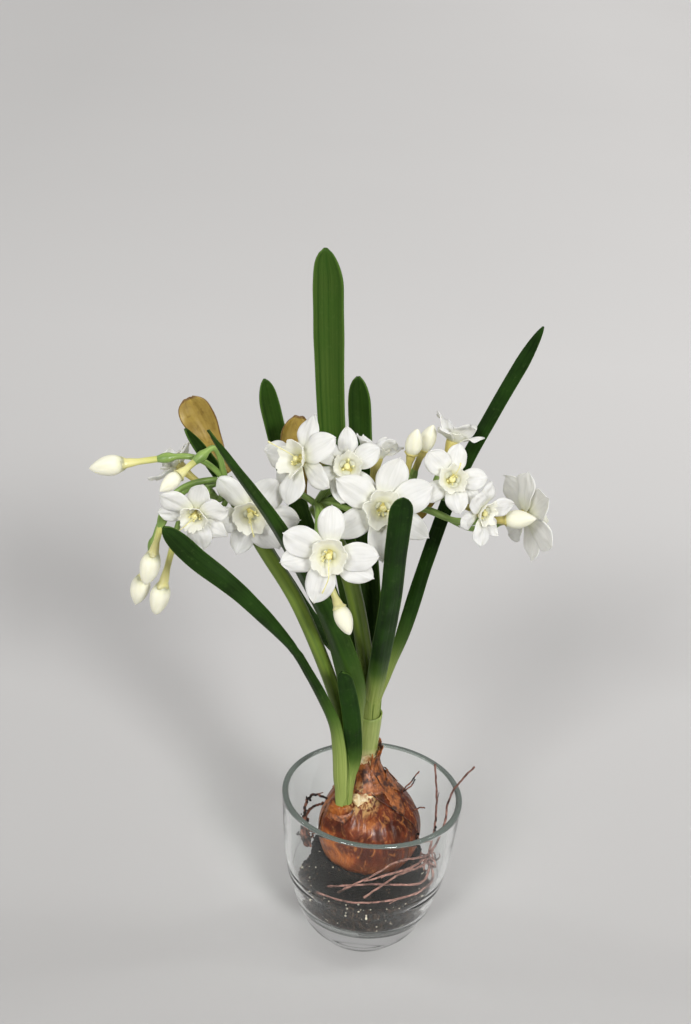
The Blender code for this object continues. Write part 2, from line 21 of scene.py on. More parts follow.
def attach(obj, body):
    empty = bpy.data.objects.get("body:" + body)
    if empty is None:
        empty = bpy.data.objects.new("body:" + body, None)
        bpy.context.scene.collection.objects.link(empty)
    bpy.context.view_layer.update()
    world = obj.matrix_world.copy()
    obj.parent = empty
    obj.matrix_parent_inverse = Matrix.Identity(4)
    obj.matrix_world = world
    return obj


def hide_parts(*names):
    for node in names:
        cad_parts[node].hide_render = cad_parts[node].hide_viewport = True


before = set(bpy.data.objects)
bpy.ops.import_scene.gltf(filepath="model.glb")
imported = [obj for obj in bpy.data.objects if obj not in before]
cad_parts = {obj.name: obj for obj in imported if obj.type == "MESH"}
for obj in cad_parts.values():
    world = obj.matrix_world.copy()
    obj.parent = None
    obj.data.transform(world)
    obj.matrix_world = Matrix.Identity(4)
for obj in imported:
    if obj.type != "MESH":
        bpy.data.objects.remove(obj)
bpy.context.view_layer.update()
print("frame nodes:", len(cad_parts))

# %% [markdown]
# ## The camera
#
# A still life like this is looked down on from a little above. A camera could be aimed with a
# constraint, but here its axes are worked out from two plain angles, how far it looks down and how
# far it is rolled, so the view stays exact and nothing has to be tracked.

# %% Place the camera
CAMERA_PLACE = Vector((-0.0243, -0.7020, 0.5793))
CAMERA_DOWN = math.radians(26.0)
CAMERA_ROLL = math.radians(4.5)
CAMERA_LENS = 59.77

level_right = Vector((1, 0, 0))
level_up = Vector((0, math.sin(CAMERA_DOWN), math.cos(CAMERA_DOWN)))
look = Vector((0, math.cos(CAMERA_DOWN), -math.sin(CAMERA_DOWN)))
camera_right = level_right * math.cos(CAMERA_ROLL) + level_up * math.sin(CAMERA_ROLL)
camera_up = level_up * math.cos(CAMERA_ROLL) - level_right * math.sin(CAMERA_ROLL)
camera_data = bpy.data.cameras.new("portrait")
camera_data.sensor_width = 36.0
camera_data.lens = CAMERA_LENS
camera = bpy.data.objects.new("portrait", camera_data)
bpy.context.scene.collection.objects.link(camera)
camera_axes = Matrix((camera_right, camera_up, -look)).transposed().to_4x4()
camera.matrix_world = Matrix.Translation(CAMERA_PLACE) @ camera_axes
bpy.context.scene.camera = camera
print("camera at", [round(value, 3) for value in camera.location])

# %% [markdown]
# ## Small helpers
#
# Natural pieces bend, so most of them follow a curved line. The same three tools serve them all: a
# way to write millimetres, a soft step between two values, and evenly spaced points on a smooth
# line through a few places. The line could be a curve object, but plain points are easier to reuse
# for leaves, stems and roots alike.

# %% Millimetres, soft steps and smooth lines
def mm(x, y, z):
    """A place or a direction given in millimetres."""
    return Vector((x, y, z)) * 0.001


def ease(value):
    """A soft step from 0 to 1."""
    value = min(max(value, 0.0), 1.0)
    return value * value * (3 - 2 * value)


def smooth_line(route, count):
    """Evenly spaced points on a smooth line through the route."""
    padded = [2 * route[0] - route[1], *route, 2 * route[-1] - route[-2]]
    fine = []
    for i in range(len(route) - 1):
        a, b, c, d = padded[i:i + 4]
        for k in range(24):
            t = k / 24
            fine.append(0.5 * (2 * b + (c - a) * t + (2 * a - 5 * b + 4 * c - d) * t ** 2
                               + (3 * b - a - 3 * c + d) * t ** 3))
    fine.append(route[-1].copy())
    lengths = [0.0]
    for before, after in zip(fine, fine[1:]):
        lengths.append(lengths[-1] + (after - before).length)
    points = []
    segment = 0
    for k in range(count):
        wanted = lengths[-1] * k / (count - 1)
        while segment < len(fine) - 2 and lengths[segment + 1] < wanted:
            segment += 1
        span = lengths[segment + 1] - lengths[segment]
        points.append(fine[segment].lerp(fine[segment + 1], (wanted - lengths[segment]) / span))
    return points


def between(stops, share):
    """A value read off a list of (share, value) stops, eased from one to the next."""
    if share <= stops[0][0]:
        return stops[0][1]
    for (low, first), (high, second) in zip(stops, stops[1:]):
        if share <= high:
            return first + (second - first) * ease((share - low) / (high - low))
    return stops[-1][1]


def ripple(place, size, offset=0.0):
    """Smooth noise from -1 to 1 with bumps of about the given size."""
    return noise.noise(place / size + Vector((offset, offset * 1.7, offset * 0.3)))


print("middle of a test line:", smooth_line([mm(0, 0, 0), mm(5, 0, 9), mm(0, 0, 20)], 3)[1])

# %% [markdown]
# ## Sheets and tubes
#
# Leaves, petals and bracts are thin sheets; stems, roots and flower tubes are round. Both start
# here as a flat grid whose corners are moved into place, because a grid brings its own UV map: u
# runs across or round the piece and v from its base to its tip. Markings that follow the growth of
# the plant can then be drawn along v. A tube is the same grid rolled up, with its seam welded.

# %% Grids that become sheets and tubes
def sheet(across, along, place):
    """A grid whose corners place(u, v) puts in space, with u and v as its UV map."""
    work = bmesh.new()
    marks = work.loops.layers.uv.new("UVMap")
    bmesh.ops.create_grid(work, x_segments=across, y_segments=along, size=0.5)
    for face in work.faces:
        for loop in face.loops:
            loop[marks].uv = (loop.vert.co.x + 0.5, loop.vert.co.y + 0.5)
    for corner in work.verts:
        corner.co = place(corner.co.x + 0.5, corner.co.y + 0.5)
    return work


def weld(work):
    """Joins corners that lie on each other, such as those of a seam."""
    bmesh.ops.remove_doubles(work, verts=work.verts, dist=2e-6)
    bmesh.ops.recalc_face_normals(work, faces=work.faces)
    return work


def thicken(work, thickness):
    """Gives an open sheet its thickness, half to each side, by extruding it and parting the sides."""
    number = work.verts.layers.int.new("number")
    work.normal_update()
    normals = []
    for index, corner in enumerate(work.verts):
        corner[number] = index
        normals.append(corner.normal.copy())
    first_side = work.verts[:]
    made = bmesh.ops.extrude_face_region(work, geom=work.faces[:], use_keep_orig=True)["geom"]
    for corner in first_side:
        corner.co -= normals[corner[number]] * thickness / 2
    for corner in made:
        if isinstance(corner, bmesh.types.BMVert):
            corner.co += normals[corner[number]] * thickness / 2
    bmesh.ops.recalc_face_normals(work, faces=work.faces)
    return work


def line_frames(points):
    """For each point of a line, two directions across it that don't twist along the way."""
    frames = []
    side = None
    for index, point in enumerate(points):
        ahead = points[min(index + 1, len(points) - 1)] - points[max(index - 1, 0)]
        tangent = ahead.normalized()
        if side is None:
            side = tangent.orthogonal().normalized()
        side = (side - tangent * side.dot(tangent)).normalized()
        frames.append((side, tangent.cross(side)))
    return frames


def tube(points, radii, sides, shape=None):
    """A closed tube along the points. shape(turn, share) scales its radius round and along."""
    frames = line_frames(points)
    last = len(points) - 1

    def place(u, v):
        index = round(v * last)
        turn = 2 * math.pi * u
        radius = radii[index] * (shape(turn, v) if shape else 1.0)
        side, rise = frames[index]
        return points[index] + (side * math.cos(turn) + rise * math.sin(turn)) * radius

    work = sheet(sides, last, place)
    return weld(work)


def closed_radii(values):
    """Radii for a tube whose ends are drawn in to a point."""
    return [0.0, *values, 0.0]


def closed_points(points, reach):
    """The points with one more just past each end, to round the ends off."""
    first = points[0] - (points[1] - points[0]).normalized() * reach
    last = points[-1] + (points[-1] - points[-2]).normalized() * reach
    return [first, *points, last]


def smoothed(work):
    """Shades every face smoothly."""
    for face in work.faces:
        face.smooth = True
    return work


def join_into(target, part, finish_index=0):
    """Adds a finished part to the target bmesh, with one of the piece's finishes."""
    for face in smoothed(part).faces:
        face.material_index = finish_index
    held = bpy.data.meshes.new("held")
    part.to_mesh(held)
    part.free()
    target.from_mesh(held)
    bpy.data.meshes.remove(held)


def make_piece(name, work, finishes, stands_for=()):
    """Turns a bmesh into a piece that rides on the plant and stands for its frame nodes."""
    data = bpy.data.meshes.new(name)
    work.to_mesh(data)
    work.free()
    for finish in finishes:
        data.materials.append(finish)
    item = bpy.data.objects.new(name, data)
    bpy.context.scene.collection.objects.link(item)
    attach(item, "root")
    if stands_for:
        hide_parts(*stands_for)
    print(name, len(data.polygons), "faces")
    return item


print("faces in a test sheet:", len(sheet(4, 6, lambda u, v: mm(u, v, 0)).faces))

# %% [markdown]
# ## Building finishes
#
# Every finish is one Principled shader fed by a few procedural patterns. Writing each node out in
# full would bury the idea, so these helpers add a node, mix two colours, or stretch a value, and
# the finishes below read like recipes.

# %% Helpers for finishes
def paint(red, green, blue):
    """A colour from its three values between 0 and 255, as shown on a screen."""
    values = []
    for part in (red, green, blue):
        part /= 255
        values.append(part / 12.92 if part <= 0.04045 else ((part + 0.055) / 1.055) ** 2.4)
    return (*values, 1.0)


def add_node(tree, kind, inputs=None, **settings):
    """A new node with its settings, whose inputs take plain values or other nodes' outputs."""
    made = tree.nodes.new(kind)
    for key, value in settings.items():
        setattr(made, key, value)
    for key, value in (inputs or {}).items():
        if isinstance(value, bpy.types.NodeSocket):
            tree.links.new(value, made.inputs[key])
        else:
            made.inputs[key].default_value = value
    return made


def mixed(tree, share, first, second, how="MIX"):
    """The first colour where share is 0 and the second where it is 1."""
    made = add_node(tree, "ShaderNodeMix", {0: share, 6: first, 7: second},
                    data_type="RGBA", blend_type=how)
    return made.outputs[2]


def stretch(tree, value, low, high, to_low=0.0, to_high=1.0):
    """The value stretched so that low..high becomes to_low..to_high."""
    made = add_node(tree, "ShaderNodeMapRange", {0: value, 1: low, 2: high, 3: to_low, 4: to_high})
    return made.outputs[0]


def sums(tree, operation, first, second=0.5):
    """Two values put together by one operation of the Math node."""
    made = add_node(tree, "ShaderNodeMath", {0: first, 1: second}, operation=operation)
    return made.outputs[0]


def uv_parts(tree):
    """The two parts of a piece's own UV map: u across it and v along it."""
    surface = add_node(tree, "ShaderNodeUVMap", uv_map="UVMap")
    return add_node(tree, "ShaderNodeSeparateXYZ", {0: surface.outputs["UV"]}).outputs


def start_finish(name, **plain):
    """A material with its Principled shader, whose plain values are set on its own sockets."""
    made = bpy.data.materials.new(name)
    made.use_nodes = True
    tree = made.node_tree
    shader = tree.nodes["Principled BSDF"]
    shader.inputs["Subsurface Radius"].default_value = (1.0, 0.9, 0.6)
    for key, value in plain.items():
        shader.inputs[key.replace("_", " ")].default_value = value
    return made, tree, shader


def place_group(tree, group, **inputs):
    """One of the shared patterns below with its own numbers, as its outputs by name."""
    made = tree.nodes.new("ShaderNodeGroup")
    made.node_tree = group
    for key, value in inputs.items():
        socket = made.inputs[key.replace("_", " ")]
        if isinstance(value, bpy.types.NodeSocket):
            tree.links.new(value, socket)
        else:
            socket.default_value = value
    return made.outputs


def colour_and_gloss(tree, shader, colour, pattern, smoothest, roughest):
    """Feeds the colour, and a roughness that follows a pattern between two values."""
    tree.links.new(colour, shader.inputs["Base Color"])
    tree.links.new(stretch(tree, pattern, 0.3, 0.7, smoothest, roughest), shader.inputs["Roughness"])


def add_bump(tree, shader, height, distance, strength):
    """Fine relief in the finish: how far it stands out, and how strongly it shows."""
    bump = add_node(tree, "ShaderNodeBump", {"Height": height, "Distance": distance, "Strength": strength})
    tree.links.new(bump.outputs["Normal"], shader.inputs["Normal"])


print("linear value of a mid grey:", round(paint(128, 128, 128)[0], 3))

# %% [markdown]
# ## Patterns shared by many finishes
#
# Three patterns return all over a plant. Growth lines run from base to tip on leaves, stems,
# petals and bracts. Blotches mottle the bulb, the bracts, the roots and the soil. Specks are the
# small dark or pale dots of dirt and dry skin. Each is a shader node group with its own inputs, so
# a finish only chooses how many, how large and how strong.

# %% Growth lines, blotches and specks
def open_group(name, inputs, outputs):
    """A shader node group with its sockets, and its input and output nodes."""
    group = bpy.data.node_groups.new(name, "ShaderNodeTree")
    for label, value in inputs:
        socket = group.interface.new_socket(label, in_out="INPUT", socket_type="NodeSocketFloat")
        socket.default_value = value
    for label in outputs:
        group.interface.new_socket(label, in_out="OUTPUT", socket_type="NodeSocketFloat")
    return group, group.nodes.new("NodeGroupInput"), group.nodes.new("NodeGroupOutput")


growth_lines, given, result = open_group(
    "growth lines", [("Lines", 12.0), ("Length", 2.0)], ["Mask", "Height"])
uv = uv_parts(growth_lines)
across = sums(growth_lines, "MULTIPLY", uv[0], given.outputs["Lines"])
along = sums(growth_lines, "MULTIPLY", uv[1], given.outputs["Length"])
drawn = add_node(growth_lines, "ShaderNodeCombineXYZ", {0: across, 1: along})
streak = add_node(growth_lines, "ShaderNodeTexNoise",
                  {"Vector": drawn.outputs[0], "Scale": 1.0, "Detail": 3.0})
lined = stretch(growth_lines, streak.outputs["Fac"], 0.35, 0.65)
growth_lines.links.new(lined, result.inputs["Mask"])
growth_lines.links.new(streak.outputs["Fac"], result.inputs["Height"])

blotches, given, result = open_group(
    "blotches", [("Scale", 100.0), ("Low", 0.4), ("High", 0.6), ("Seed", 0.0)], ["Mask", "Height"])
body = add_node(blotches, "ShaderNodeTexCoord")
moved = add_node(blotches, "ShaderNodeVectorMath", {0: body.outputs["Object"]}, operation="ADD")
blotches.links.new(given.outputs["Seed"], moved.inputs[1])
cloud = add_node(blotches, "ShaderNodeTexNoise",
                 {"Vector": moved.outputs[0], "Scale": given.outputs["Scale"], "Detail": 4.0})
level = add_node(blotches, "ShaderNodeMapRange",
                 {0: cloud.outputs["Fac"], 1: given.outputs["Low"], 2: given.outputs["High"]})
blotches.links.new(level.outputs[0], result.inputs["Mask"])
blotches.links.new(cloud.outputs["Fac"], result.inputs["Height"])

specks, given, result = open_group("specks", [("Scale", 600.0), ("Size", 0.2)], ["Mask"])
body = add_node(specks, "ShaderNodeTexCoord")
cells = add_node(specks, "ShaderNodeTexVoronoi",
                 {"Vector": body.outputs["Object"], "Scale": given.outputs["Scale"]})
inner_edge = sums(specks, "MULTIPLY", given.outputs["Size"], 0.6)
dots = add_node(specks, "ShaderNodeMapRange",
                {0: cells.outputs["Distance"], 1: given.outputs["Size"], 2: inner_edge})
specks.links.new(dots.outputs[0], result.inputs["Mask"])
print("patterns:", growth_lines.name, blotches.name, specks.name)

# %% [markdown]
# ## The glass
#
# The vase is a tapered tumbler, pressed in one piece: a thick solid foot, a wall that opens
# upwards, and a rounded rim. It could be turned with a Screw modifier, but spinning its outline
# with a bmesh closes it at once, and glass must be one closed skin for light to bend through it.
# The mould has left two soft rings round the lower wall, where the light bends into curved lines.

# %% Turn the glass
GLASS_HEIGHT = 0.0835
GLASS_RIM_RADIUS = 0.045
GLASS_FOOT_RADIUS = 0.0215
GLASS_FLOOR = 0.0140
GLASS_WALL = 0.0031
GLASS_OUTER = [(0.0014, 0.0229), (0.0029, 0.0246), (0.0100, 0.0302), (0.0234, 0.0359), (0.0459, 0.0416),
               (0.0650, 0.0436), (0.0823, 0.0450)]
GLASS_INNER = [(GLASS_FLOOR, 0.0), (GLASS_FLOOR + 0.0001, 0.0100), (GLASS_FLOOR + 0.0008, 0.0180),
               (0.0178, 0.0245), (0.0196, 0.0290), (0.0220, 0.0321), (0.0310, 0.0347), (0.0460, 0.0385),
               (0.0640, 0.0403), (0.0823, GLASS_RIM_RADIUS - GLASS_WALL)]
GLASS_RIM_ROUND = 0.0012
GLASS_RIM_BAND = 0.0013
MOULD_RINGS = [(0.0225, 0.0011, 0.00026), (0.0375, 0.0014, 0.00024)]
ROUND_STEPS = 144


def spun(outline, steps):
    """A turned form from an outline of (radius, height), closed where it meets the axis."""
    work = bmesh.new()
    corners = [work.verts.new((radius, 0, height)) for radius, height in outline]
    edges = [work.edges.new(pair) for pair in zip(corners, corners[1:])]
    bmesh.ops.spin(work, geom=corners + edges, cent=(0, 0, 0), axis=(0, 0, 1), dvec=(0, 0, 0),
                   angle=2 * math.pi, steps=steps, use_merge=True, use_duplicate=False)
    return weld(work)


def mould_rings(height):
    """How far the rings stand out at a height. Each has its middle, its spread and its depth."""
    return sum(depth * math.exp(-((height - middle) / spread) ** 2)
               for middle, spread, depth in MOULD_RINGS)


outer_line = smooth_line([Vector((radius, 0, height)) for height, radius in GLASS_OUTER], 90)
inner_line = smooth_line([Vector((radius, 0, height)) for height, radius in GLASS_INNER], 56)
rim_line = []
for step in range(1, 10):
    turn = math.pi * step / 10
    rim_line.append((GLASS_RIM_RADIUS - GLASS_WALL / 2 + math.cos(turn) * GLASS_WALL / 2,
                     GLASS_HEIGHT - GLASS_RIM_ROUND + math.sin(turn) * GLASS_RIM_ROUND))
outline = [(0.0, 0.0)] + [(GLASS_FOOT_RADIUS * share, 0.0) for share in (0.5, 0.97)]
outline += [(GLASS_FOOT_RADIUS + 0.0008, 0.0004)]
outline += [(place.x + mould_rings(place.z), place.z) for place in outer_line]
outline += rim_line + [(place.x, place.z) for place in reversed(inner_line)]
glass_work = spun(outline, ROUND_STEPS)
print("glass wall in mm:", GLASS_WALL * 1000, "rim across in mm:", GLASS_RIM_RADIUS * 2000)

# %% [markdown]
# Clear glass is a Principled shader with full transmission. Light from the lamps is let straight
# through by a transparent shader, which keeps the plant inside and the floor beneath evenly lit, as
# they are in a soft studio. Light that reaches the eye along the rim has come a long way through
# the glass, so the rim gets a second glass, cloudier and with a trace of grey-green in it.

# %% Glass finishes
def glass_finish(name, tint, roughness, passing, shine):
    """A glass that lets a share of the light pass and mirrors the studio with some shine."""
    made, tree, shader = start_finish(name, Base_Color=tint, Roughness=roughness, IOR=1.5,
                                      Specular_Tint=(shine, shine, shine, 1), Transmission_Weight=passing)
    path = tree.nodes.new("ShaderNodeLightPath")
    clear = add_node(tree, "ShaderNodeBsdfTransparent", {"Color": (0.90, 0.92, 0.91, 1)})
    both = add_node(tree, "ShaderNodeMixShader", {0: path.outputs["Is Shadow Ray"],
                                                  1: shader.outputs[0], 2: clear.outputs[0]})
    tree.links.new(both.outputs[0], tree.nodes["Material Output"].inputs["Surface"])
    return made


clear_glass = glass_finish("clear glass", (0.965, 0.98, 0.975, 1), 0.0, 1.0, 0.3)
rim_glass = glass_finish("rim glass", paint(150, 162, 154), 0.04, 0.62, 1.0)
for face in smoothed(glass_work).faces:
    if face.calc_center_median().z > GLASS_HEIGHT - GLASS_RIM_BAND:
        face.material_index = 1
make_piece("glass_tumbler", glass_work, [clear_glass, rim_glass], ["glass"])

# %% [markdown]
# ## The soil
#
# Soil holds the shape of the pot it came from: a stubby plug, crumbly at its skin, standing in a
# layer of loose soil that fills the foot of the glass. The plug is a turned form roughened with
# smooth noise. The crumbs are small lumps of a few dozen faces each, scattered with a fixed seed
# and joined into one piece, which is far lighter than roughening the plug so finely.

# %% Shape the plug of soil
def roughened(work, moves):
    """Moves every corner along its normal by moves(place)."""
    work.normal_update()
    shifts = [(corner, corner.normal * moves(corner.co)) for corner in work.verts]
    for corner, shift in shifts:
        corner.co += shift
    return work


SOIL_TOP = 0.0525
SOIL_RADIUS = 0.0282
SOIL_SMOOTH_BELOW = 0.0200
soil_outline = [(0.0, 0.0380), (0.0085, 0.0383), (0.0125, 0.0400), (0.0160, 0.0424), (0.0195, 0.0458),
                (0.0222, 0.0490), (0.0240, SOIL_TOP - 0.0007), (0.0252, SOIL_TOP - 0.0001),
                (0.0262, SOIL_TOP), (0.0272, SOIL_TOP - 0.0008), (SOIL_RADIUS - 0.0003, SOIL_TOP - 0.0026)]
soil_outline += [(SOIL_RADIUS, 0.0480 - 0.0020 * step) for step in range(11)]
soil_outline += [(SOIL_RADIUS - 0.0004, 0.0252), (SOIL_RADIUS + 0.0006, 0.0228), (0.0275, 0.0205),
                 (0.0250, 0.0188), (0.0222, GLASS_FLOOR + 0.0033), (0.0160, GLASS_FLOOR + 0.0012),
                 (0.0080, GLASS_FLOOR + 0.0006), (0.0, GLASS_FLOOR + 0.0005)]
soil_work = spun(soil_outline, 110)


def soil_moves(place):
    """How far the plug's skin is moved at a place: not at its foot, which is out of sight."""
    if place.z < SOIL_SMOOTH_BELOW:
        return 0.0
    return ripple(place, 0.0045) * 0.0006 + ripple(place, 0.0014, 3.0) * 0.0005


roughened(soil_work, soil_moves)
smoothed(soil_work)
print("soil plug faces:", len(soil_work.faces))

# %% [markdown]
# The crumbs carry a number of their own, from dark to pale, as a point attribute, because the
# finish needs to tell one crumb from the next: most are black peat, some are brown bark and a few
# are white grit.

# %% Shape one crumb
BARK_SHARE = 0.28


def add_lump(work, layer, place, size, tone):
    """One crumb: a small icosphere squashed and turned at random."""
    corners = bmesh.ops.create_icosphere(work, subdivisions=1, radius=1.0)["verts"]
    squash = Matrix.Diagonal((draw.uniform(0.6, 1.0), draw.uniform(0.5, 1.0), draw.uniform(0.4, 0.9)))
    turn = Matrix.Rotation(draw.uniform(0, math.pi), 3, Vector((draw.random(), draw.random(), 0.3)))
    for corner in corners:
        wobble = 1 + 0.25 * noise.noise(corner.co * 1.3 + place * 900)
        corner.co = place + turn @ (squash @ (corner.co * wobble)) * size
        corner[layer] = tone


def crumb_tone_of(pale_share):
    """A crumb's own number: 1 for white grit, about a half for bark, and low for peat."""
    chance = draw.random()
    if chance < pale_share:
        return 1.0
    if chance < pale_share + BARK_SHARE:
        return draw.uniform(0.45, 0.65)
    return draw.uniform(0.0, 0.3)


draw = random.Random(11)
print("share of bark:", BARK_SHARE)

# %% [markdown]
# The loose soil is one turned ring between the plug and the glass, kept a little clear of the
# glass so that the two skins don't cut each other. Its top is banked up a little towards the front.

# %% Bank up the loose soil
def inner_radius(height):
    """Inner radius of the glass at a height."""
    for before, after in zip(inner_line, inner_line[1:]):
        if height <= after.z:
            share = (height - before.z) / max(after.z - before.z, 1e-6)
            return before.x + (after.x - before.x) * share
    return GLASS_RIM_RADIUS - GLASS_WALL


LOOSE_TOP = 0.0345
LOOSE_FOOT = 0.0190
LOOSE_INNER = 0.0262
LOOSE_GAP = 0.0009
LOOSE_BANK_ABOVE = 0.0300
loose_outline = [(LOOSE_INNER, LOOSE_FOOT), (LOOSE_INNER, LOOSE_TOP - 0.0008), (0.0300, LOOSE_TOP - 0.0008),
                 (0.0330, LOOSE_TOP - 0.0010)]
loose_outline += [(inner_radius(height) - LOOSE_GAP, height)
                  for height in (LOOSE_TOP - 0.0020, 0.0310, 0.0290, 0.0270, 0.0250, 0.0235, 0.0220, 0.0210)]
loose_outline += [(LOOSE_INNER, LOOSE_FOOT)]
crumb_work = spun(loose_outline, 160)
roughened(crumb_work, lambda place: ripple(place, 0.0018, 7.0) * 0.0005)


def loose_top(around):
    """Height of the loose soil's top in a direction."""
    return LOOSE_TOP - 0.0030 - 0.0026 * around.y


for corner in crumb_work.verts:
    if corner.co.z > LOOSE_BANK_ABOVE:
        corner.co.z += loose_top(corner.co.xy.normalized()) - LOOSE_TOP
crumb_tone = crumb_work.verts.layers.float.new("tone")
for corner in crumb_work.verts:
    corner[crumb_tone] = 0.30 + 0.34 * ripple(corner.co, 0.0016, 2.0)
print("loose soil faces:", len(crumb_work.faces))

# %% [markdown]
# Crumbs lie in four places: stuck to the side of the plug, pressed against the inside of the glass,
# scattered over the loose soil, and on top of the plug round the bulb. White grit has gathered on
# the loose soil close to the plug, so its share falls off outwards there.

# %% Scatter the crumbs
def any_direction():
    """A level direction drawn at random."""
    angle = draw.uniform(0, 2 * math.pi)
    return Vector((math.cos(angle), math.sin(angle), 0))


SIDE_CRUMBS = 420
GLASS_CRUMBS = 2300
LOOSE_CRUMBS = 800
TOP_CRUMBS = 420
GLASS_CRUMB_FOOT = 0.0205
LOOSE_CRUMB_INNER = 0.0284
for count in range(SIDE_CRUMBS):
    around = any_direction()
    height = draw.uniform(LOOSE_BANK_ABOVE, SOIL_TOP - 0.002)
    add_lump(crumb_work, crumb_tone, around * SOIL_RADIUS + Vector((0, 0, height)),
             draw.uniform(0.0003, 0.0008), crumb_tone_of(0.02))
for count in range(GLASS_CRUMBS):
    around = any_direction()
    height = GLASS_CRUMB_FOOT + (loose_top(around) - GLASS_CRUMB_FOOT) * draw.random()
    height += 0.0008 * noise.noise(around * 3.5)
    size = draw.uniform(0.0004, 0.0011)
    radius = inner_radius(height - size * 0.5) - size - 0.0003
    add_lump(crumb_work, crumb_tone, around * radius + Vector((0, 0, height)), size * 0.9,
             crumb_tone_of(0.05))
for count in range(LOOSE_CRUMBS):
    around = any_direction()
    outward = draw.random()
    radius = LOOSE_CRUMB_INNER + (inner_radius(LOOSE_TOP) - 0.0014 - LOOSE_CRUMB_INNER) * outward
    height = loose_top(around) - 0.0006 + 0.0010 * noise.noise(around * 3.0 + Vector((0, 0, outward)))
    add_lump(crumb_work, crumb_tone, around * radius + Vector((0, 0, height)),
             draw.uniform(0.0003, 0.0009), crumb_tone_of(0.22 * (1 - outward) ** 2 + 0.02))
for count in range(TOP_CRUMBS):
    around = any_direction()
    radius = math.sqrt(draw.uniform(0.30, 1.0)) * 0.0268
    height = between([(0.0085, 0.0385), (0.0160, 0.0426), (0.0222, 0.0492), (0.0262, 0.0523)], radius)
    add_lump(crumb_work, crumb_tone, around * radius + Vector((0, 0, height)),
             draw.uniform(0.0004, 0.0010), crumb_tone_of(0.03))
for face in crumb_work.faces:
    face.smooth = False
print("crumb faces:", len(crumb_work.faces))

# %% [markdown]
# Peat is nearly black and quite matt. Its colour is mixed from the blotches, with specks of pale
# grit, and its bump is fine and strong. The loose crumbs take theirs from their own number.

# %% Soil finishes
peat, tree, shader = start_finish("peat", Specular_IOR_Level=0.15)
patches = place_group(tree, blotches, Scale=420.0, Low=0.40, High=0.64)
grit = place_group(tree, specks, Scale=900.0, Size=0.10)
colour = mixed(tree, patches["Mask"], paint(9, 9, 7), paint(27, 24, 19))
colour = mixed(tree, grit["Mask"], colour, paint(78, 70, 56))
colour_and_gloss(tree, shader, colour, patches["Height"], 0.8, 0.98)
fine = place_group(tree, blotches, Scale=1300.0, Low=0.3, High=0.7, Seed=2.0)
add_bump(tree, shader, fine["Mask"], 0.0006, 0.9)

loose_crumbs, tree, shader = start_finish("loose crumbs", Specular_IOR_Level=0.25)
tone = add_node(tree, "ShaderNodeAttribute", attribute_name="tone")
patches = place_group(tree, blotches, Scale=900.0, Low=0.35, High=0.65)
bark_share = stretch(tree, tone.outputs["Fac"], 0.30, 0.50)
colour = mixed(tree, bark_share, paint(12, 11, 9), paint(66, 45, 28))
colour = mixed(tree, stretch(tree, tone.outputs["Fac"], 0.80, 0.95), colour, paint(196, 188, 168))
colour = mixed(tree, sums(tree, "MULTIPLY", patches["Mask"], 0.5), colour, paint(16, 15, 12), "MULTIPLY")
colour_and_gloss(tree, shader, colour, patches["Height"], 0.5, 0.9)
add_bump(tree, shader, patches["Height"], 0.0004, 0.6)

make_piece("soil_plug", soil_work, [peat], ["soil"])
make_piece("soil_crumbs", crumb_work, [loose_crumbs])

# %% [markdown]
# ## The bulb
#
# The bulb is a layered body in a thin brown skin, round below and drawn up into a neck, with a
# small offset grown out of its front left side. Two turned forms are enough for its mass. They are
# remeshed together, so the offset flows into the body in one skin, and then the skin's ridges and
# creases are pushed in with noise that runs lengthwise.

# %% Shape the bulb
BULB_TOP = 0.103
BULB_FOOT = 0.039
BULB_LEAN_ABOVE = 0.070
OFFSET_FOOT = 0.058
SHOOT_CENTRE = mm(-4.5, 4, 0)
SIDE_CENTRE = mm(-14.5, -12, 0)
SIDE_TOP = 0.085
BULB_OUTLINE = [(BULB_TOP, 0.0054), (0.100, 0.0060), (0.097, 0.0068), (0.091, 0.0098), (0.085, 0.0148),
                (0.078, 0.0206), (0.071, 0.0244), (0.063, 0.0258), (0.056, 0.0250), (0.049, 0.0215),
                (0.043, 0.0150), (0.039, 0.0080)]
OFFSET_OUTLINE = [(SIDE_TOP, 0.0056), (0.080, 0.0074), (0.074, 0.0094), (0.067, 0.0098), (0.058, 0.0070)]


def turned_from(heights, steps, foot):
    """A turned form from a list of (height, radius), closed at its foot and its top."""
    places = smooth_line([Vector((radius, 0, height)) for height, radius in heights], 40)
    outline = [(0.0, heights[0][0])] + [(place.x, place.z) for place in places] + [(0.0, foot)]
    return spun(outline, steps)


def bulb_lean(height):
    """How far the bulb leans towards the shoot over its neck, at a height."""
    return SHOOT_CENTRE * ease((height - BULB_LEAN_ABOVE) / (BULB_TOP - BULB_LEAN_ABOVE))


bulb_work = turned_from(BULB_OUTLINE, 64, BULB_FOOT)
for corner in bulb_work.verts:
    corner.co += bulb_lean(corner.co.z)
offset_work = turned_from(OFFSET_OUTLINE, 40, OFFSET_FOOT)
bmesh.ops.translate(offset_work, verts=offset_work.verts, vec=SIDE_CENTRE)
join_into(bulb_work, offset_work)
print("bulb before remeshing:", len(bulb_work.verts), "corners")

# %% Remesh it and press in the ridges
def applied(work, name, modifiers):
    """The mesh after a stack of (kind, settings) modifiers, as a new bmesh."""
    data = bpy.data.meshes.new(name)
    work.to_mesh(data)
    work.free()
    item = bpy.data.objects.new(name, data)
    bpy.context.scene.collection.objects.link(item)
    for kind, settings in modifiers:
        modifier = item.modifiers.new(kind, kind)
        for key, value in settings.items():
            setattr(modifier, key, value)
    bpy.context.view_layer.update()
    graph = bpy.context.evaluated_depsgraph_get()
    made = bmesh.new()
    made.from_object(item, graph)
    bpy.data.objects.remove(item)
    bpy.data.meshes.remove(data)
    return made


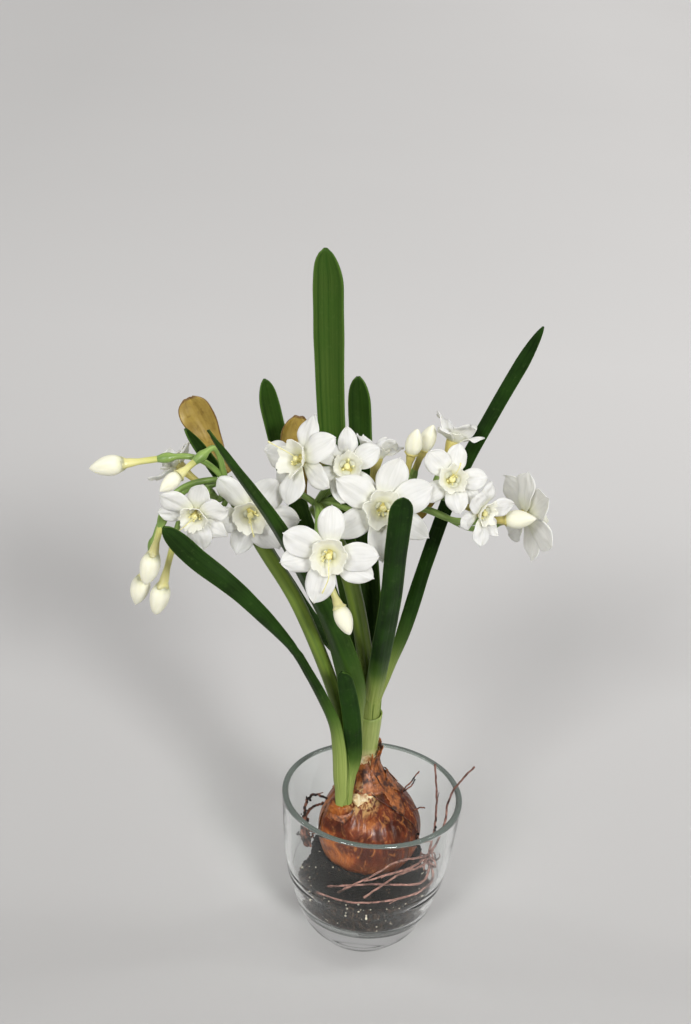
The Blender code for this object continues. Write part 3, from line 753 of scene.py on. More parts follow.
BULB_VOXEL = 0.00055
bulb_work = applied(bulb_work, "bulb form", [
    ("REMESH", dict(mode="VOXEL", voxel_size=BULB_VOXEL)),
    ("SMOOTH", dict(factor=0.6, iterations=10)),
])


def bulb_axis(height):
    """Middle of the bulb at a height."""
    return bulb_lean(height) + Vector((0, 0, height))


def bulb_moves(place):
    """How far the skin is moved at a place: lengthwise ridges, soft dents and a creased neck."""
    around = place - bulb_axis(place.z)
    around = around.normalized() if around.length > 1e-6 else Vector((1, 0, 0))
    along_skin = Vector((around.x * 6, around.y * 6, place.z * 24))
    ridges = noise.noise(along_skin) * 0.00050
    fine = noise.noise(Vector((around.x * 17, around.y * 17, place.z * 55))) * 0.00018
    dents = ripple(place, 0.014, 5.0) * 0.0007
    neck = ease((place.z - 0.088) / 0.010)
    return ridges + fine + dents + neck * noise.noise(along_skin * 1.9) * 0.0009


roughened(bulb_work, bulb_moves)
smoothed(bulb_work)
bulb_surface = BVHTree.FromBMesh(bulb_work)
print("bulb faces:", len(bulb_work.faces))

# %% [markdown]
# Bulb skin is the richest finish on the plant: chestnut and rust clouds, golden marbling where a
# skin has worn through, nearly black patches on the right and by the neck, and a hard gloss. The
# marbling comes from distorted noise, whose swirls look grown; straight noise would look like
# camouflage. The right side is darker, so the marbling is shifted across the bulb.

# %% Bulb finish
def drawn_noise(tree, scales, offset=0.0, detail=4.0, swirl=0.0):
    """Noise on the object's own coordinates, stretched by its own scale along each axis."""
    body = tree.nodes.new("ShaderNodeTexCoord")
    laid = add_node(tree, "ShaderNodeMapping", {"Vector": body.outputs["Object"], "Scale": scales,
                                                "Location": (offset, offset, offset)})
    made = add_node(tree, "ShaderNodeTexNoise", {"Vector": laid.outputs[0], "Scale": 1.0,
                                                 "Detail": detail, "Distortion": swirl})
    return made.outputs["Fac"]


def along_axis(tree, axis):
    """How far along x, y or z on the plant, as a value."""
    body = tree.nodes.new("ShaderNodeTexCoord")
    return add_node(tree, "ShaderNodeSeparateXYZ", {0: body.outputs["Object"]}).outputs[axis]


bulb_skin, tree, shader = start_finish("bulb skin", Coat_Roughness=0.18, Specular_IOR_Level=0.20)
height = along_axis(tree, 2)
marbling = drawn_noise(tree, (72, 72, 48), 0.0, 5.0, 1.3)
shift = stretch(tree, along_axis(tree, 0), -0.024, 0.024, 0.08, -0.09)
marbling = sums(tree, "ADD", marbling, shift)
veins = drawn_noise(tree, (290, 290, 130), 3.0, 6.0, 2.0)
colour = mixed(tree, stretch(tree, marbling, 0.34, 0.52), paint(56, 21, 10), paint(104, 46, 20))
colour = mixed(tree, stretch(tree, marbling, 0.52, 0.66, 0.0, 0.9), colour, paint(150, 84, 34))
colour = mixed(tree, stretch(tree, veins, 0.54, 0.70, 0.0, 0.62), colour, paint(184, 120, 62))
colour = mixed(tree, stretch(tree, veins, 0.34, 0.46, 0.45, 0.0), colour, paint(62, 24, 12))
dark_clouds = drawn_noise(tree, (70, 70, 44), 9.0, 4.0, 1.0)
colour = mixed(tree, stretch(tree, dark_clouds, 0.54, 0.64, 0.0, 0.72), colour, paint(42, 17, 10))
colour = mixed(tree, stretch(tree, height, 0.086, 0.096, 0.0, 0.55), colour, paint(120, 70, 34))
colour = mixed(tree, stretch(tree, height, 0.062, 0.052, 0.0, 0.6), colour, paint(116, 62, 36))
WORN_PLACE = mm(-5.5, -12, 86)
body = add_node(tree, "ShaderNodeTexCoord")
worn = add_node(tree, "ShaderNodeVectorMath", {0: body.outputs["Object"], 1: WORN_PLACE},
                operation="DISTANCE")
near_tear = stretch(tree, worn.outputs["Value"], 0.003, 0.010, 0.75, 0.0)
near_tear = sums(tree, "MULTIPLY", near_tear, stretch(tree, veins, 0.42, 0.56))
colour = mixed(tree, near_tear, colour, paint(214, 180, 118))
colour_and_gloss(tree, shader, colour, veins, 0.28, 0.50)
tree.links.new(stretch(tree, marbling, 0.3, 0.7, 0.06, 0.26), shader.inputs["Coat Weight"])
relief = sums(tree, "ADD", marbling, sums(tree, "MULTIPLY", veins, 0.5))
add_bump(tree, shader, relief, 0.0010, 0.7)
make_piece("bulb_body", bulb_work, [bulb_skin], ["bulb"])

# %% [markdown]
# ## Torn skins
#
# Dry skins peel away at the neck and round the small offset: cream where they are fresh and brown
# where they are old. A flake is a small sheet with a ragged outline, laid on the bulb's own surface
# and lifted at one edge; the neck is wrapped in ragged bands. Painting them on would leave them
# flat, and it is their lifted edges that catch the light.

# %% Shape flakes and bands
def bulb_radius(height):
    """Radius of the bulb's outline at a height."""
    for (high, first), (low, second) in zip(BULB_OUTLINE, BULB_OUTLINE[1:]):
        if height >= low:
            return second + (first - second) * min((height - low) / (high - low), 1.0)
    return BULB_OUTLINE[-1][1]


def on_bulb(angle, height, above):
    """The place on the bulb's skin at an angle and a height, raised a little."""
    guess = bulb_axis(height) + Vector((math.cos(angle), math.sin(angle), 0)) * bulb_radius(height)
    spot, normal = bulb_surface.find_nearest(guess)[:2]
    return spot + normal * above


def flake(middle_angle, middle, wide, tall, lift, seed):
    """A ragged flake round a place on the bulb, its top edge lifted. Sizes are in millimetres."""
    def place(u, v):
        turn = 2 * math.pi * u
        edge = Vector((math.cos(turn) * 1.4, math.sin(turn) * 1.4, seed))
        reach = v * (1 + 0.50 * noise.noise(edge) + 0.30 * noise.noise(edge * 3.1))
        height = (middle + math.sin(turn) * reach * tall / 2) * 0.001
        sweep = math.cos(turn) * reach * wide * 0.0005 / bulb_radius(height)
        lifted = 0.15 + 0.85 * max(math.sin(turn + 0.5 * math.sin(seed)), 0)
        raised = 0.0003 + lifted * lift * 0.001 * v ** 3
        return on_bulb(math.radians(middle_angle) + sweep, height, raised)
    return thicken(weld(sheet(30, 7, place)), 0.0002)


def neck_band(first, last, low, high, flare, seed):
    """A ragged band of old skin round part of the neck, between two angles, flaring at its top."""
    def place(u, v):
        angle = math.radians(first + (last - first) * u)
        around = Vector((math.cos(angle), math.sin(angle), 0))
        ragged = 1 + 0.30 * noise.noise(around * 2.6 + Vector((0, 0, seed)))
        ragged += 0.16 * noise.noise(around * 9 + Vector((0, 0, seed)))
        height = (low + (high - low) * v * ragged) * 0.001
        fold = noise.noise(Vector((angle * 2.2, v * 2, seed))) * 0.0007
        radius = max(bulb_radius(min(height, BULB_TOP)), 0.0055) + 0.0005 + fold
        return bulb_axis(height) + around * (radius + flare * 0.001 * v ** 3)
    return thicken(weld(sheet(44, 12, place)), 0.00024)


print("radius of the bulb at 60 mm:", round(bulb_radius(0.060), 4))

# %% [markdown]
# Bands are listed by the two angles they run between, their lowest and highest edge, how far they
# flare and their own seed. Flakes are listed by their angle, height, width, length, lift and seed.
# Angles are in degrees and lengths in millimetres.

# %% Lay the torn skins
NECK_BANDS = [(-175, 185, 88, 101, 0.2, 3), (-70, 80, 92, 106, 1.3, 8), (95, 215, 93, 104, 0.6, 21),
              (-35, 45, 95, 108, 2.0, 14)]
BROWN_FLAKES = [(8, 88, 12, 9, 1.3, 2), (-35, 84, 9, 10, 0.5, 5), (-140, 79, 9, 8, 0.5, 9),
                (60, 84, 14, 12, 0.8, 4), (150, 84, 15, 12, 0.8, 6), (-160, 72, 8, 12, 0.5, 7)]
PALE_FLAKES = [(-110, 86.0, 5.6, 4.0, 0.6, 12), (-96, 87.0, 4.6, 2.8, 0.4, 13),
               (-118, 82, 2.4, 4.0, 0.4, 17), (-127, 82.5, 1.6, 3.4, 0.3, 15), (-84, 88, 3.4, 1.8, 0.3, 19)]
PALE_BAND = (-150, 60, 100.5, 105.5, 0.2, 27)
brown_skins = bmesh.new()
pale_skins = bmesh.new()
for values in NECK_BANDS:
    join_into(brown_skins, neck_band(*values))
for values in BROWN_FLAKES:
    join_into(brown_skins, flake(*values))
for values in PALE_FLAKES:
    join_into(pale_skins, flake(*values))
join_into(pale_skins, neck_band(*PALE_BAND))
print("torn skins:", len(NECK_BANDS) + len(BROWN_FLAKES) + len(PALE_FLAKES) + 1)

# %% Torn skin finishes
def papery(name, first, second, marks):
    """Dry skin in two colours that run into each other, with darker spots."""
    made, tree, shader = start_finish(name, Subsurface_Weight=0.15, Subsurface_Scale=0.002)
    streaks = drawn_noise(tree, (420, 420, 130), 2.0, 5.0, 1.2)
    spots = place_group(tree, blotches, Scale=260.0, Low=0.47, High=0.62)
    colour = mixed(tree, stretch(tree, streaks, 0.38, 0.62), first, second)
    colour = mixed(tree, spots["Mask"], colour, marks)
    colour_and_gloss(tree, shader, colour, spots["Height"], 0.30, 0.60)
    add_bump(tree, shader, streaks, 0.0005, 0.7)
    return made


brown_skin = papery("brown torn skin", paint(168, 100, 48), paint(122, 64, 28), paint(60, 28, 15))
pale_skin = papery("pale torn skin", paint(224, 208, 168), paint(206, 176, 124), paint(156, 106, 60))
make_piece("bulb_brown_skins", brown_skins, [brown_skin])
make_piece("bulb_pale_skins", pale_skins, [pale_skin])

# %% [markdown]
# ## The neck sheath
#
# The shoot rises out of a short pale sheath, the cut stump of an outer leaf. It is a thin tube,
# slanted where the knife took it off and open at the top so that the leaves come out of it. A tube
# rolled from a grid is enough, with its top edge tipped and its wall given a real thickness.

# %% Roll the sheath
SHEATH_TOP = 0.128
SHEATH_FOOT = 0.1020
SHEATH_RADIUS = 0.0056
SHEATH_WALL = 0.0006


def sheath_place(u, v):
    """A place on the sheath: u runs round it and v from its foot to its slanted cut."""
    turn = 2 * math.pi * u
    tip = 0.0010 * math.sin(turn + 0.4) - 0.0010
    height = SHEATH_FOOT + (SHEATH_TOP + tip - SHEATH_FOOT) * v
    uneven = noise.noise(Vector((math.cos(turn), math.sin(turn), v * 3)))
    swell = 1 + 0.025 * math.cos(2 * turn) + 0.02 * uneven
    radius = between([(0.0, 0.0048), (0.4, 0.0049), (0.8, 0.0054), (1.0, SHEATH_RADIUS)], v) * swell
    return SHOOT_CENTRE + Vector((math.cos(turn) * radius, math.sin(turn) * radius, height))


sheath_work = smoothed(thicken(weld(sheet(48, 24, sheath_place)), SHEATH_WALL))
print("sheath faces:", len(sheath_work.faces))

# %% Sheath finish
sheath_green, tree, shader = start_finish("sheath green", Subsurface_Weight=0.2, Subsurface_Scale=0.003)
lines = place_group(tree, growth_lines, Lines=22.0, Length=1.2)
low = along_axis(tree, 2)
colour = mixed(tree, lines["Mask"], paint(136, 152, 78), paint(166, 178, 106))
colour = mixed(tree, stretch(tree, low, 0.103, 0.109, 1.0, 0.0), colour, paint(222, 212, 160))
colour = mixed(tree, stretch(tree, low, 0.121, 0.128, 0.0, 0.45), colour, paint(112, 138, 60))
colour_and_gloss(tree, shader, colour, lines["Height"], 0.32, 0.50)
add_bump(tree, shader, lines["Height"], 0.0005, 0.5)
make_piece("neck_sheath_tube", sheath_work, [sheath_green], ["neck_sheath"])

# %% [markdown]
# ## The leaves
#
# A narcissus leaf is a long strap, curled round its neighbours at the base, nearly flat higher up,
# often folded a little along its length, and blunt at the tip. Each one here is a grid laid along
# its own middle line. The numbers beside every leaf say how wide it is along the way, which way it
# faces at the base and the tip, where and how sharply it is folded, and how far up its pale base
# reaches. Two leaves have a share at which they were once bent and bruised.

# %% Middle lines of the leaves
MAIN_FLOOR = 0.1288
MAIN_SINK = 0.008
SIDE_FLOOR = 0.0858
SIDE_SINK = 0.004
MAIN_LEAVES = {
    "leaf_tall": dict(angle=106, widths=[(0, 7.5), (0.42, 12.2), (0.62, 12.8), (0.85, 14.2)],
                      face=(0.05, 1, 0.1), tip=0.91, point=2.6, crease=0.5, lean=1.2,
                      fold=[(0, 0), (0.5, 5), (1, 9)], pale=0.12, tone=0.62,
                      route=[(-9, 12, 150), (-18, 17, 182), (-28, 24, 231), (-34, 27, 270),
                             (-38, 27, 313), (-41, 24, 354)]),
    "leaf_back_left": dict(angle=165, widths=[(0, 7.0), (0.42, 9.6)], face=(-0.3, 1, 0.1),
                           tip=0.91, point=2.6, crease=0.5, lean=-0.5,
                           fold=[(0, 0), (0.5, 10), (1, 14)], pale=0.14, tone=0.30,
                           route=[(-14, 15, 146), (-25, 25, 168), (-43, 37, 208), (-57, 42, 245),
                                  (-67.5, 40, 283)]),
    "leaf_back_right": dict(angle=38, widths=[(0, 7.0), (0.42, 11.0)], face=(0.1, 1, 0.1),
                            tip=0.91, point=2.6, crease=0.5, lean=0.4,
                            fold=[(0, 0), (0.5, 12), (1, 15)], pale=0.14, tone=0.22,
                            route=[(-2.5, 12, 150), (-8, 19, 177), (-16, 32, 228), (-20, 37, 262),
                                   (-23, 38, 289)]),
    "leaf_right": dict(angle=-22, widths=[(0, 7.5), (0.42, 6.9), (0.80, 6.7)], face=(-0.35, -1, 0.3),
                       tip=0.90, point=1.5, crease=0.5, lean=0.0, fold=[(0, 0), (0.4, 10), (1, 14)],
                       pale=0.24, tone=0.02,
                       route=[(3, 5, 148), (8, 8, 170), (16, 15, 208), (27, 26, 246), (40.5, 28, 281),
                              (58, 25, 325)]),
    "leaf_front": dict(angle=-80, widths=[(0, 9.8), (0.36, 10.6)], face=(0.1, -1, 0.1), tip=0.93, point=2.6,
                       crease=0.34, lean=0.0, fold=[(0, 4), (0.3, 24), (0.7, 22), (1, 8)], pale=0.27,
                       tone=0.0,
                       route=[(-3, -5, 148), (-2, -15, 173), (-0.5, -28, 208), (-0.5, -38, 240),
                              (0, -43.5, 267)]),
    "leaf_left_slim": dict(angle=-138, widths=[(0, 7.0), (0.42, 6.0)], face=(-0.5, 1, -0.4),
                           tip=0.86, point=2.2, crease=0.5, lean=0.0,
                           fold=[(0, 0), (0.5, 12), (1, 12)], pale=0.12, tone=0.10,
                           route=[(-12, 2, 140), (-23, 7, 156), (-39, 11, 177), (-57, 13, 203),
                                  (-74, 12.5, 230), (-88, 6, 254), (-99, -2, 273)]),
}
SIDE_LEAVES = {
    "leaf_crossing": dict(angle=-10, widths=[(0, 5.6), (0.30, 14.5)], face=(-0.35, -1, 0.3), tip=0.42,
                          point=1.1, crease=0.56, lean=0.0, fold=[(0, 10), (0.30, 26), (0.5, 40), (1, 40)],
                          pale=0.34, tone=0.16, bruise=0.52,
                          route=[(-9, -13, 112), (-10, -14, 132), (-15, -15, 153), (-26, -18, 182),
                                 (-40, -23, 212), (-56, -32, 244), (-71, -39, 269), (-85, -43, 291)]),
    "leaf_low_left": dict(angle=-112, widths=[(0, 2.6), (0.05, 6.4), (0.11, 7.8), (0.32, 6.0), (0.50, 4.8),
                                              (0.66, 7.6), (0.88, 9.8)],
                          face=(-0.3, -1, 0.6), tip=0.91, point=2.6, crease=0.5, lean=0.0,
                          fold=[(0, 0), (0.15, 10), (0.35, 34), (0.55, 40), (0.75, 12), (1, 0)], pale=0.33,
                          tone=0.06, bruise=0.52,
                          route=[(-17.2, -17.0, 100), (-18.6, -17.5, 116), (-21.6, -18.5, 132),
                                 (-27.5, -19.5, 146), (-35, -21.5, 161), (-44.5, -23.5, 177),
                                 (-63.5, -27, 199.5), (-76, -29.5, 212), (-90, -31.5, 224),
                                 (-104, -34, 239)]),
    "leaf_short": dict(angle=-72, ring=0.0034,
                       widths=[(0, 2.6), (0.15, 5.0), (0.40, 8.6), (0.75, 9.0), (1, 7.4)],
                       face=(0.1, -1, 0.2), tip=0.90, point=2.2, crease=0.5, lean=-0.8,
                       fold=[(0, 8), (0.6, 18), (1, 24)], pale=0.40, tone=0.0,
                       route=[(-11.2, -15.6, 113), (-14.0, -19.5, 140), (-19.5, -23.5, 166)]),
}
LEAF_RING = 0.0043
LEAF_THICKNESS = 0.0009
print("leaves:", len(MAIN_LEAVES) + len(SIDE_LEAVES))

# %% Bend a leaf from a grid
LEAF_ACROSS = 16
LEAF_ALONG = 110
LEAF_UPPER_CURL = 0.020
LEAF_CREASE_ROUND = 0.0006
BRUISE_REACH = 0.022


def leaf_work(spec, centre, floor, sink, seed):
    """One leaf, from where it sinks between its neighbours to its tip."""
    angle = math.radians(spec["angle"])
    outward = Vector((math.cos(angle), math.sin(angle), 0))
    base = centre + outward * spec.get("ring", LEAF_RING)
    route = [base + Vector((0, 0, floor - sink)), base + Vector((0, 0, floor + 0.006))]
    route += [mm(*place) for place in spec["route"]]
    points = smooth_line(route, LEAF_ALONG + 1)
    face_at_tip = Vector(spec["face"]).normalized()
    bruise = spec.get("bruise")

    def width_at(share):
        width = between(spec["widths"], share) * 0.001
        if share > spec["tip"]:
            used = (share - spec["tip"]) / (1 - spec["tip"])
            width *= max(0.02, 1 - used ** spec["point"]) ** 0.6
        return width * (1 + 0.025 * noise.noise(Vector((share * 14, seed, 0))))

    def place(u, v):
        index = round(v * LEAF_ALONG)
        tangent = (points[min(index + 1, LEAF_ALONG)] - points[max(index - 1, 0)]).normalized()
        facing = outward.lerp(face_at_tip, ease(v / 0.45))
        side = tangent.cross(facing).normalized()
        facing = side.cross(tangent)
        curve = 1 / LEAF_RING + (1 / LEAF_UPPER_CURL - 1 / LEAF_RING) * ease(v / 0.4)
        fold = math.radians(between(spec["fold"], v))
        width = width_at(v)
        reach = (u - 0.5) * width
        bend = reach * curve
        back = (1 - math.cos(bend)) / curve
        from_crease = reach - (spec["crease"] - 0.5) * width
        crease = math.sqrt(from_crease * from_crease + LEAF_CREASE_ROUND ** 2) - LEAF_CREASE_ROUND
        aside = math.sin(bend) / curve * math.cos(fold)
        aside += spec["lean"] * 0.001 * ease((v - 0.93) / 0.07)
        back += crease * math.sin(fold) + spec["lean"] * 0.0008 * ease((v - 0.95) / 0.05) * (u - 0.3)
        wave = 0.00040 * noise.noise(Vector((u * 2.2, v * 16, seed))) * ease(v / 0.3)
        if bruise:
            near = math.exp(-((v - bruise) / BRUISE_REACH) ** 2)
            wave += near * 0.0011 * noise.noise(Vector((u * 3.5, v * 60, seed + 3)))
        return points[index] + side * aside - facing * (back + wave)

    work = sheet(LEAF_ACROSS, LEAF_ALONG, place)
    ripeness = work.verts.layers.float.new("ripeness")
    shade = work.verts.layers.float.new("shade")
    marks = work.loops.layers.uv["UVMap"]
    for face in work.faces:
        for loop in face.loops:
            loop.vert[ripeness] = ease((loop[marks].uv.y - spec["pale"] * 0.35) / spec["pale"])
            loop.vert[shade] = spec["tone"]
    bmesh.ops.recalc_face_normals(work, faces=work.faces)
    return smoothed(thicken(work, LEAF_THICKNESS))


print("corners in a leaf:", (LEAF_ACROSS + 1) * (LEAF_ALONG + 1) * 2)

# %% [markdown]
# Leaf green is never one colour. It runs from a pale yellow-green at the base, where light never
# reached, to a deep green; fine lines follow the veins; the edges are a little lighter; and each
# leaf has its own lighter or darker green. The first and the last come from values stored on each
# leaf, and the lines follow its UV map.

# %% Leaf finish
leaf_green, tree, shader = start_finish("leaf green", Subsurface_Weight=0.05, Subsurface_Scale=0.002,
                                        Specular_IOR_Level=0.10)
ripe = add_node(tree, "ShaderNodeAttribute", attribute_name="ripeness").outputs["Fac"]
tone = add_node(tree, "ShaderNodeAttribute", attribute_name="shade").outputs["Fac"]
lines = place_group(tree, growth_lines, Lines=9.0, Length=1.2)
fine_lines = place_group(tree, growth_lines, Lines=40.0, Length=3.0)
clouds = place_group(tree, blotches, Scale=70.0, Low=0.35, High=0.65)
scuffs = place_group(tree, blotches, Scale=420.0, Low=0.60, High=0.70, Seed=6.0)
dark = mixed(tree, lines["Mask"], paint(12, 29, 6), paint(24, 46, 11))
light = mixed(tree, lines["Mask"], paint(54, 84, 26), paint(86, 112, 46))
colour = mixed(tree, tone, dark, light)
colour = mixed(tree, sums(tree, "MULTIPLY", clouds["Mask"], 0.35), colour, paint(44, 80, 20))
colour = mixed(tree, sums(tree, "MULTIPLY", scuffs["Mask"], 0.10), colour, paint(92, 118, 62))
pale = mixed(tree, fine_lines["Mask"], paint(118, 136, 62), paint(154, 166, 96))
young = mixed(tree, stretch(tree, ripe, 0.0, 0.6), pale, paint(76, 104, 40))
colour = mixed(tree, stretch(tree, ripe, 0.25, 0.95), young, colour)
off_middle = sums(tree, "ABSOLUTE", sums(tree, "SUBTRACT", uv_parts(tree)[0], 0.5))
edge = stretch(tree, off_middle, 0.455, 0.49, 0.0, 0.5)
colour = mixed(tree, edge, colour, paint(86, 118, 48))
colour_and_gloss(tree, shader, colour, clouds["Height"], 0.36, 0.50)
relief = sums(tree, "ADD", lines["Height"], sums(tree, "MULTIPLY", fine_lines["Height"], 0.4))
add_bump(tree, shader, relief, 0.0005, 0.45)
print("finish:", leaf_green.name)

# %% Make the leaves
for seed, (leaf_name, leaf_spec) in enumerate(MAIN_LEAVES.items()):
    work = leaf_work(leaf_spec, SHOOT_CENTRE, MAIN_FLOOR, MAIN_SINK, seed)
    make_piece(leaf_name + "_blade", work, [leaf_green], [leaf_name])
for seed, (leaf_name, leaf_spec) in enumerate(SIDE_LEAVES.items()):
    work = leaf_work(leaf_spec, SIDE_CENTRE, SIDE_FLOOR, SIDE_SINK, seed + 20)
    make_piece(leaf_name + "_blade", work, [leaf_green], [leaf_name])

# %% [markdown]
# ## The blooms and buds, as a list
#
# Each flower stem ends in an umbel: a fan of thin stalks, each carrying one flower. The list gives
# the middle of every open bloom, the way it faces, how long its petals are, how far they are
# cupped, and where each petal points. For a bud it gives where its tube starts and where its tip
# ends. Nothing is mirrored or copied, because no two flowers on a real umbel look alike.

# %% Where every flower is
EVEN = (30, 90, 150, 210, 270, 330)
BLOOMS = {
    "umbel_left": {
        "bloom_left_front": dict(at=(-91, -20, 240), face=(-0.15, -1, -0.15), petal=18.5, cup=8,
                                 turns=(29, 80, 145, 185, 283, 326)),
        "bloom_left_back": dict(at=(-103, 14, 247), face=(-0.8, 0.3, 0.5), petal=16, cup=20, turns=EVEN),
    },
    "umbel_middle": {
        "bloom_left_large": dict(at=(-67, -8, 237), face=(-0.05, -1, -0.02), petal=23, cup=4,
                                 turns=(55, 130, 200, 257, 307, 357)),
        "bloom_middle_side": dict(at=(-46, -10, 266), face=(-0.7, -0.62, 0.35), petal=22, cup=0,
                                  turns=(45, 100, 190, 235, 285, 345)),
        "bloom_middle_upper": dict(at=(-25, -6, 262), face=(-0.05, -0.8, 0.6), petal=18.5, cup=14,
                                   turns=(35, 95, 150, 215, 265, 320)),
        "bloom_middle_large": dict(at=(-8, -18, 249), face=(0.1, -0.93, 0.38), petal=25, cup=4,
                                   turns=(23, 77, 148, 209, 272, 330)),
        "bloom_middle_front": dict(at=(-30, -44, 237), face=(0, -0.95, 0.25), petal=22.5, cup=2,
                                   turns=(0, 90, 155, 195, 256, 336)),
        "bloom_middle_back": dict(at=(-12, 9, 261), face=(0.1, 0.3, 0.9), petal=15, cup=38, turns=EVEN),
    },
    "umbel_right": {
        "bloom_right_upper": dict(at=(22, -10, 262), face=(0.05, -0.87, 0.48), petal=17, cup=10,
                                  turns=(2, 80, 132, 217, 285, 325)),
        "bloom_right_lower": dict(at=(37, -10, 247), face=(0.65, -0.7, 0.1), petal=15.5, cup=12,
                                  turns=(10, 75, 130, 190, 245, 305)),
        "bloom_right_side": dict(at=(60, 18, 234), face=(0.8, 0.45, 0.12), petal=24, cup=0,
                                 turns=(35, 92, 135, 195, 262, 310)),
        "bloom_right_back": dict(at=(22, 12, 271), face=(0.25, 0.25, 0.9), petal=15.5, cup=34, turns=EVEN),
    },
}
BUDS = {
    "umbel_left": {
        "bud_left_far": ((-110, -6, 259), (-141, -9, 253)),
        "bud_left_near": ((-93, -12, 262), (-107, -25, 252)),
        "bud_hanging_outer": ((-108, -9, 227), (-114, -13, 198)),
        "bud_hanging_low": ((-114, 6, 206), (-121, 6, 176)),
        "bud_hanging_inner": ((-103, -3, 214), (-110, -5, 178)),
        "bud_left_small": ((-84, 6, 225), (-91, 4, 209)),
    },
    "umbel_middle": {
        "bud_middle_front": ((-29, -31, 216), (-18, -41, 196)),
    },
    "umbel_right": {
        "bud_right_upper": ((2, 1, 258), (5, 0, 281)),
        "bud_right_upper_back": ((6, 10, 256), (12.5, 11, 279)),
        "bud_right_side": ((37, 0, 238), (63, -2, 242)),
    },
}
TUBE_LENGTH = 0.015
OVARY_LENGTH = 0.008
print("blooms:", sum(map(len, BLOOMS.values())), "buds:", sum(map(len, BUDS.values())))

# %% [markdown]
# ## The flower stems
#
# A flower stem is a hollow, slightly flattened rod with soft ridges. At its head the stalks of the
# flowers part, each swelling into a glossy green ovary just under its flower. The rod and every
# stalk are rolled tubes whose radius changes along the way; a stalk follows a Bezier curve that
# leaves the head of the stem and arrives in line with its flower.

# %% Roll the stems and stalks
SCAPES = {
    "umbel_left": dict(radius=0.0034, foot=(0.0022, 0.35),
                       route=[(-14.5, -12, 84), (-15, -10, 105), (-21, -5, 137), (-42, -1, 185),
                              (-62, 0, 217), (-80, 0, 248)]),
    "umbel_middle": dict(radius=0.0039, foot=(0.0022, 0.30),
                         route=[(-6.1, 4, 120), (-7, 3.5, 140), (-11, 1, 168), (-19, 0, 200),
                                (-28, 1, 222), (-38, 3, 238)]),
    "umbel_right": dict(radius=0.0032, foot=(0.0020, 0.30),
                        route=[(-2.9, 4, 120), (-2.5, 4, 140), (0, 2, 167), (2, 1, 206), (2, 4, 238)]),
}
PEDICEL_RADIUS = 0.0014
PEDICEL_STEPS = 20
OVARY_RADIUS = 0.0024
TUBE_FOOT_RADIUS = 0.0016
STEM_STEPS = 70


def stem_ridges(turn, share):
    """The section of a stem: slightly flattened, with soft ridges."""
    return 1 + 0.07 * math.cos(2 * turn) + 0.030 * math.cos(6 * turn + 0.6)


def ovary_lobes(turn, share):
    """The section of a stalk: round, and three-lobed where it swells into the ovary."""
    return 1 + 0.05 * math.cos(3 * turn) * ease((share - 0.6) / 0.2)


def stalk(joint, start, face):
    """One stalk from the head of the stem to the tube of its flower, with its ovary."""
    end = start + face * 0.0006
    neck = start - face * OVARY_LENGTH
    spread = ((neck - joint).normalized() + Vector((0, 0, 0.6))).normalized()
    reach = (neck - joint).length
    points = interpolate_bezier(joint, joint + spread * reach * 0.45, neck - face * reach * 0.35, neck,
                                PEDICEL_STEPS)
    radii = [PEDICEL_RADIUS * (1.12 - 0.12 * ease(k / 6)) for k in range(PEDICEL_STEPS)]
    for share in (0.12, 0.24, 0.36, 0.48, 0.60, 0.72, 0.84, 0.94, 1.0):
        points.append(neck.lerp(end, share))
        radii.append(between([(0, PEDICEL_RADIUS), (0.45, OVARY_RADIUS), (0.65, OVARY_RADIUS * 0.96),
                              (1.0, TUBE_FOOT_RADIUS)], share))
    return tube(closed_points(points, 0.0008), closed_radii(radii), 14, ovary_lobes)


def umbel_work(name, spec):
    """A stem, squeezed at its foot, with a stalk to every flower that the lists give it."""
    points = smooth_line([mm(*place) for place in spec["route"]], STEM_STEPS)
    foot_radius, settle = spec["foot"]
    radii = [foot_radius + (spec["radius"] - foot_radius) * ease(k / (STEM_STEPS - 1) / settle)
             for k in range(STEM_STEPS)]
    joint = points[-1]
    stem = tube(closed_points(points, 0.0012), closed_radii(radii), 24, stem_ridges)
    made = bmesh.new()
    join_into(made, stem)
    flowers = []
    for bloom in BLOOMS[name].values():
        face = Vector(bloom["face"]).normalized()
        flowers.append((mm(*bloom["at"]) - face * TUBE_LENGTH, face))
    for start, tip in BUDS[name].values():
        flowers.append((mm(*start), (mm(*tip) - mm(*start)).normalized()))
    for start, face in flowers:
        join_into(made, stalk(joint, start, face), 1)
    return made


print("stems:", len(SCAPES))

# %% Stem finishes
def stem_finish(name, dark, light, base, lines_round, gloss):
    """Fine lines in two greens, with a third towards the foot of the stem."""
    made, tree, shader = start_finish(name, Subsurface_Weight=0.12, Subsurface_Scale=0.003)
    lines = place_group(tree, growth_lines, Lines=lines_round, Length=1.2)
    colour = mixed(tree, lines["Mask"], dark, light)
    colour = mixed(tree, stretch(tree, uv_parts(tree)[1], 0.02, 0.30, 0.85, 0.0), colour, base)
    clouds = place_group(tree, blotches, Scale=120.0, Low=0.4, High=0.7)
    colour = mixed(tree, sums(tree, "MULTIPLY", clouds["Mask"], 0.4), colour, light)
    colour_and_gloss(tree, shader, colour, lines["Height"], gloss, gloss + 0.16)
    add_bump(tree, shader, lines["Height"], 0.0004, 0.5)
    return made


scape_green = stem_finish("scape green", paint(72, 96, 26), paint(112, 134, 46), paint(126, 156, 74),
                          9.0, 0.34)
stalk_green = stem_finish("stalk green", paint(92, 124, 54), paint(148, 174, 92), paint(82, 112, 46),
                          6.0, 0.26)
for umbel_name, umbel_spec in SCAPES.items():
    make_piece(umbel_name + "_stems", umbel_work(umbel_name, umbel_spec), [scape_green, stalk_green],
               [umbel_name])

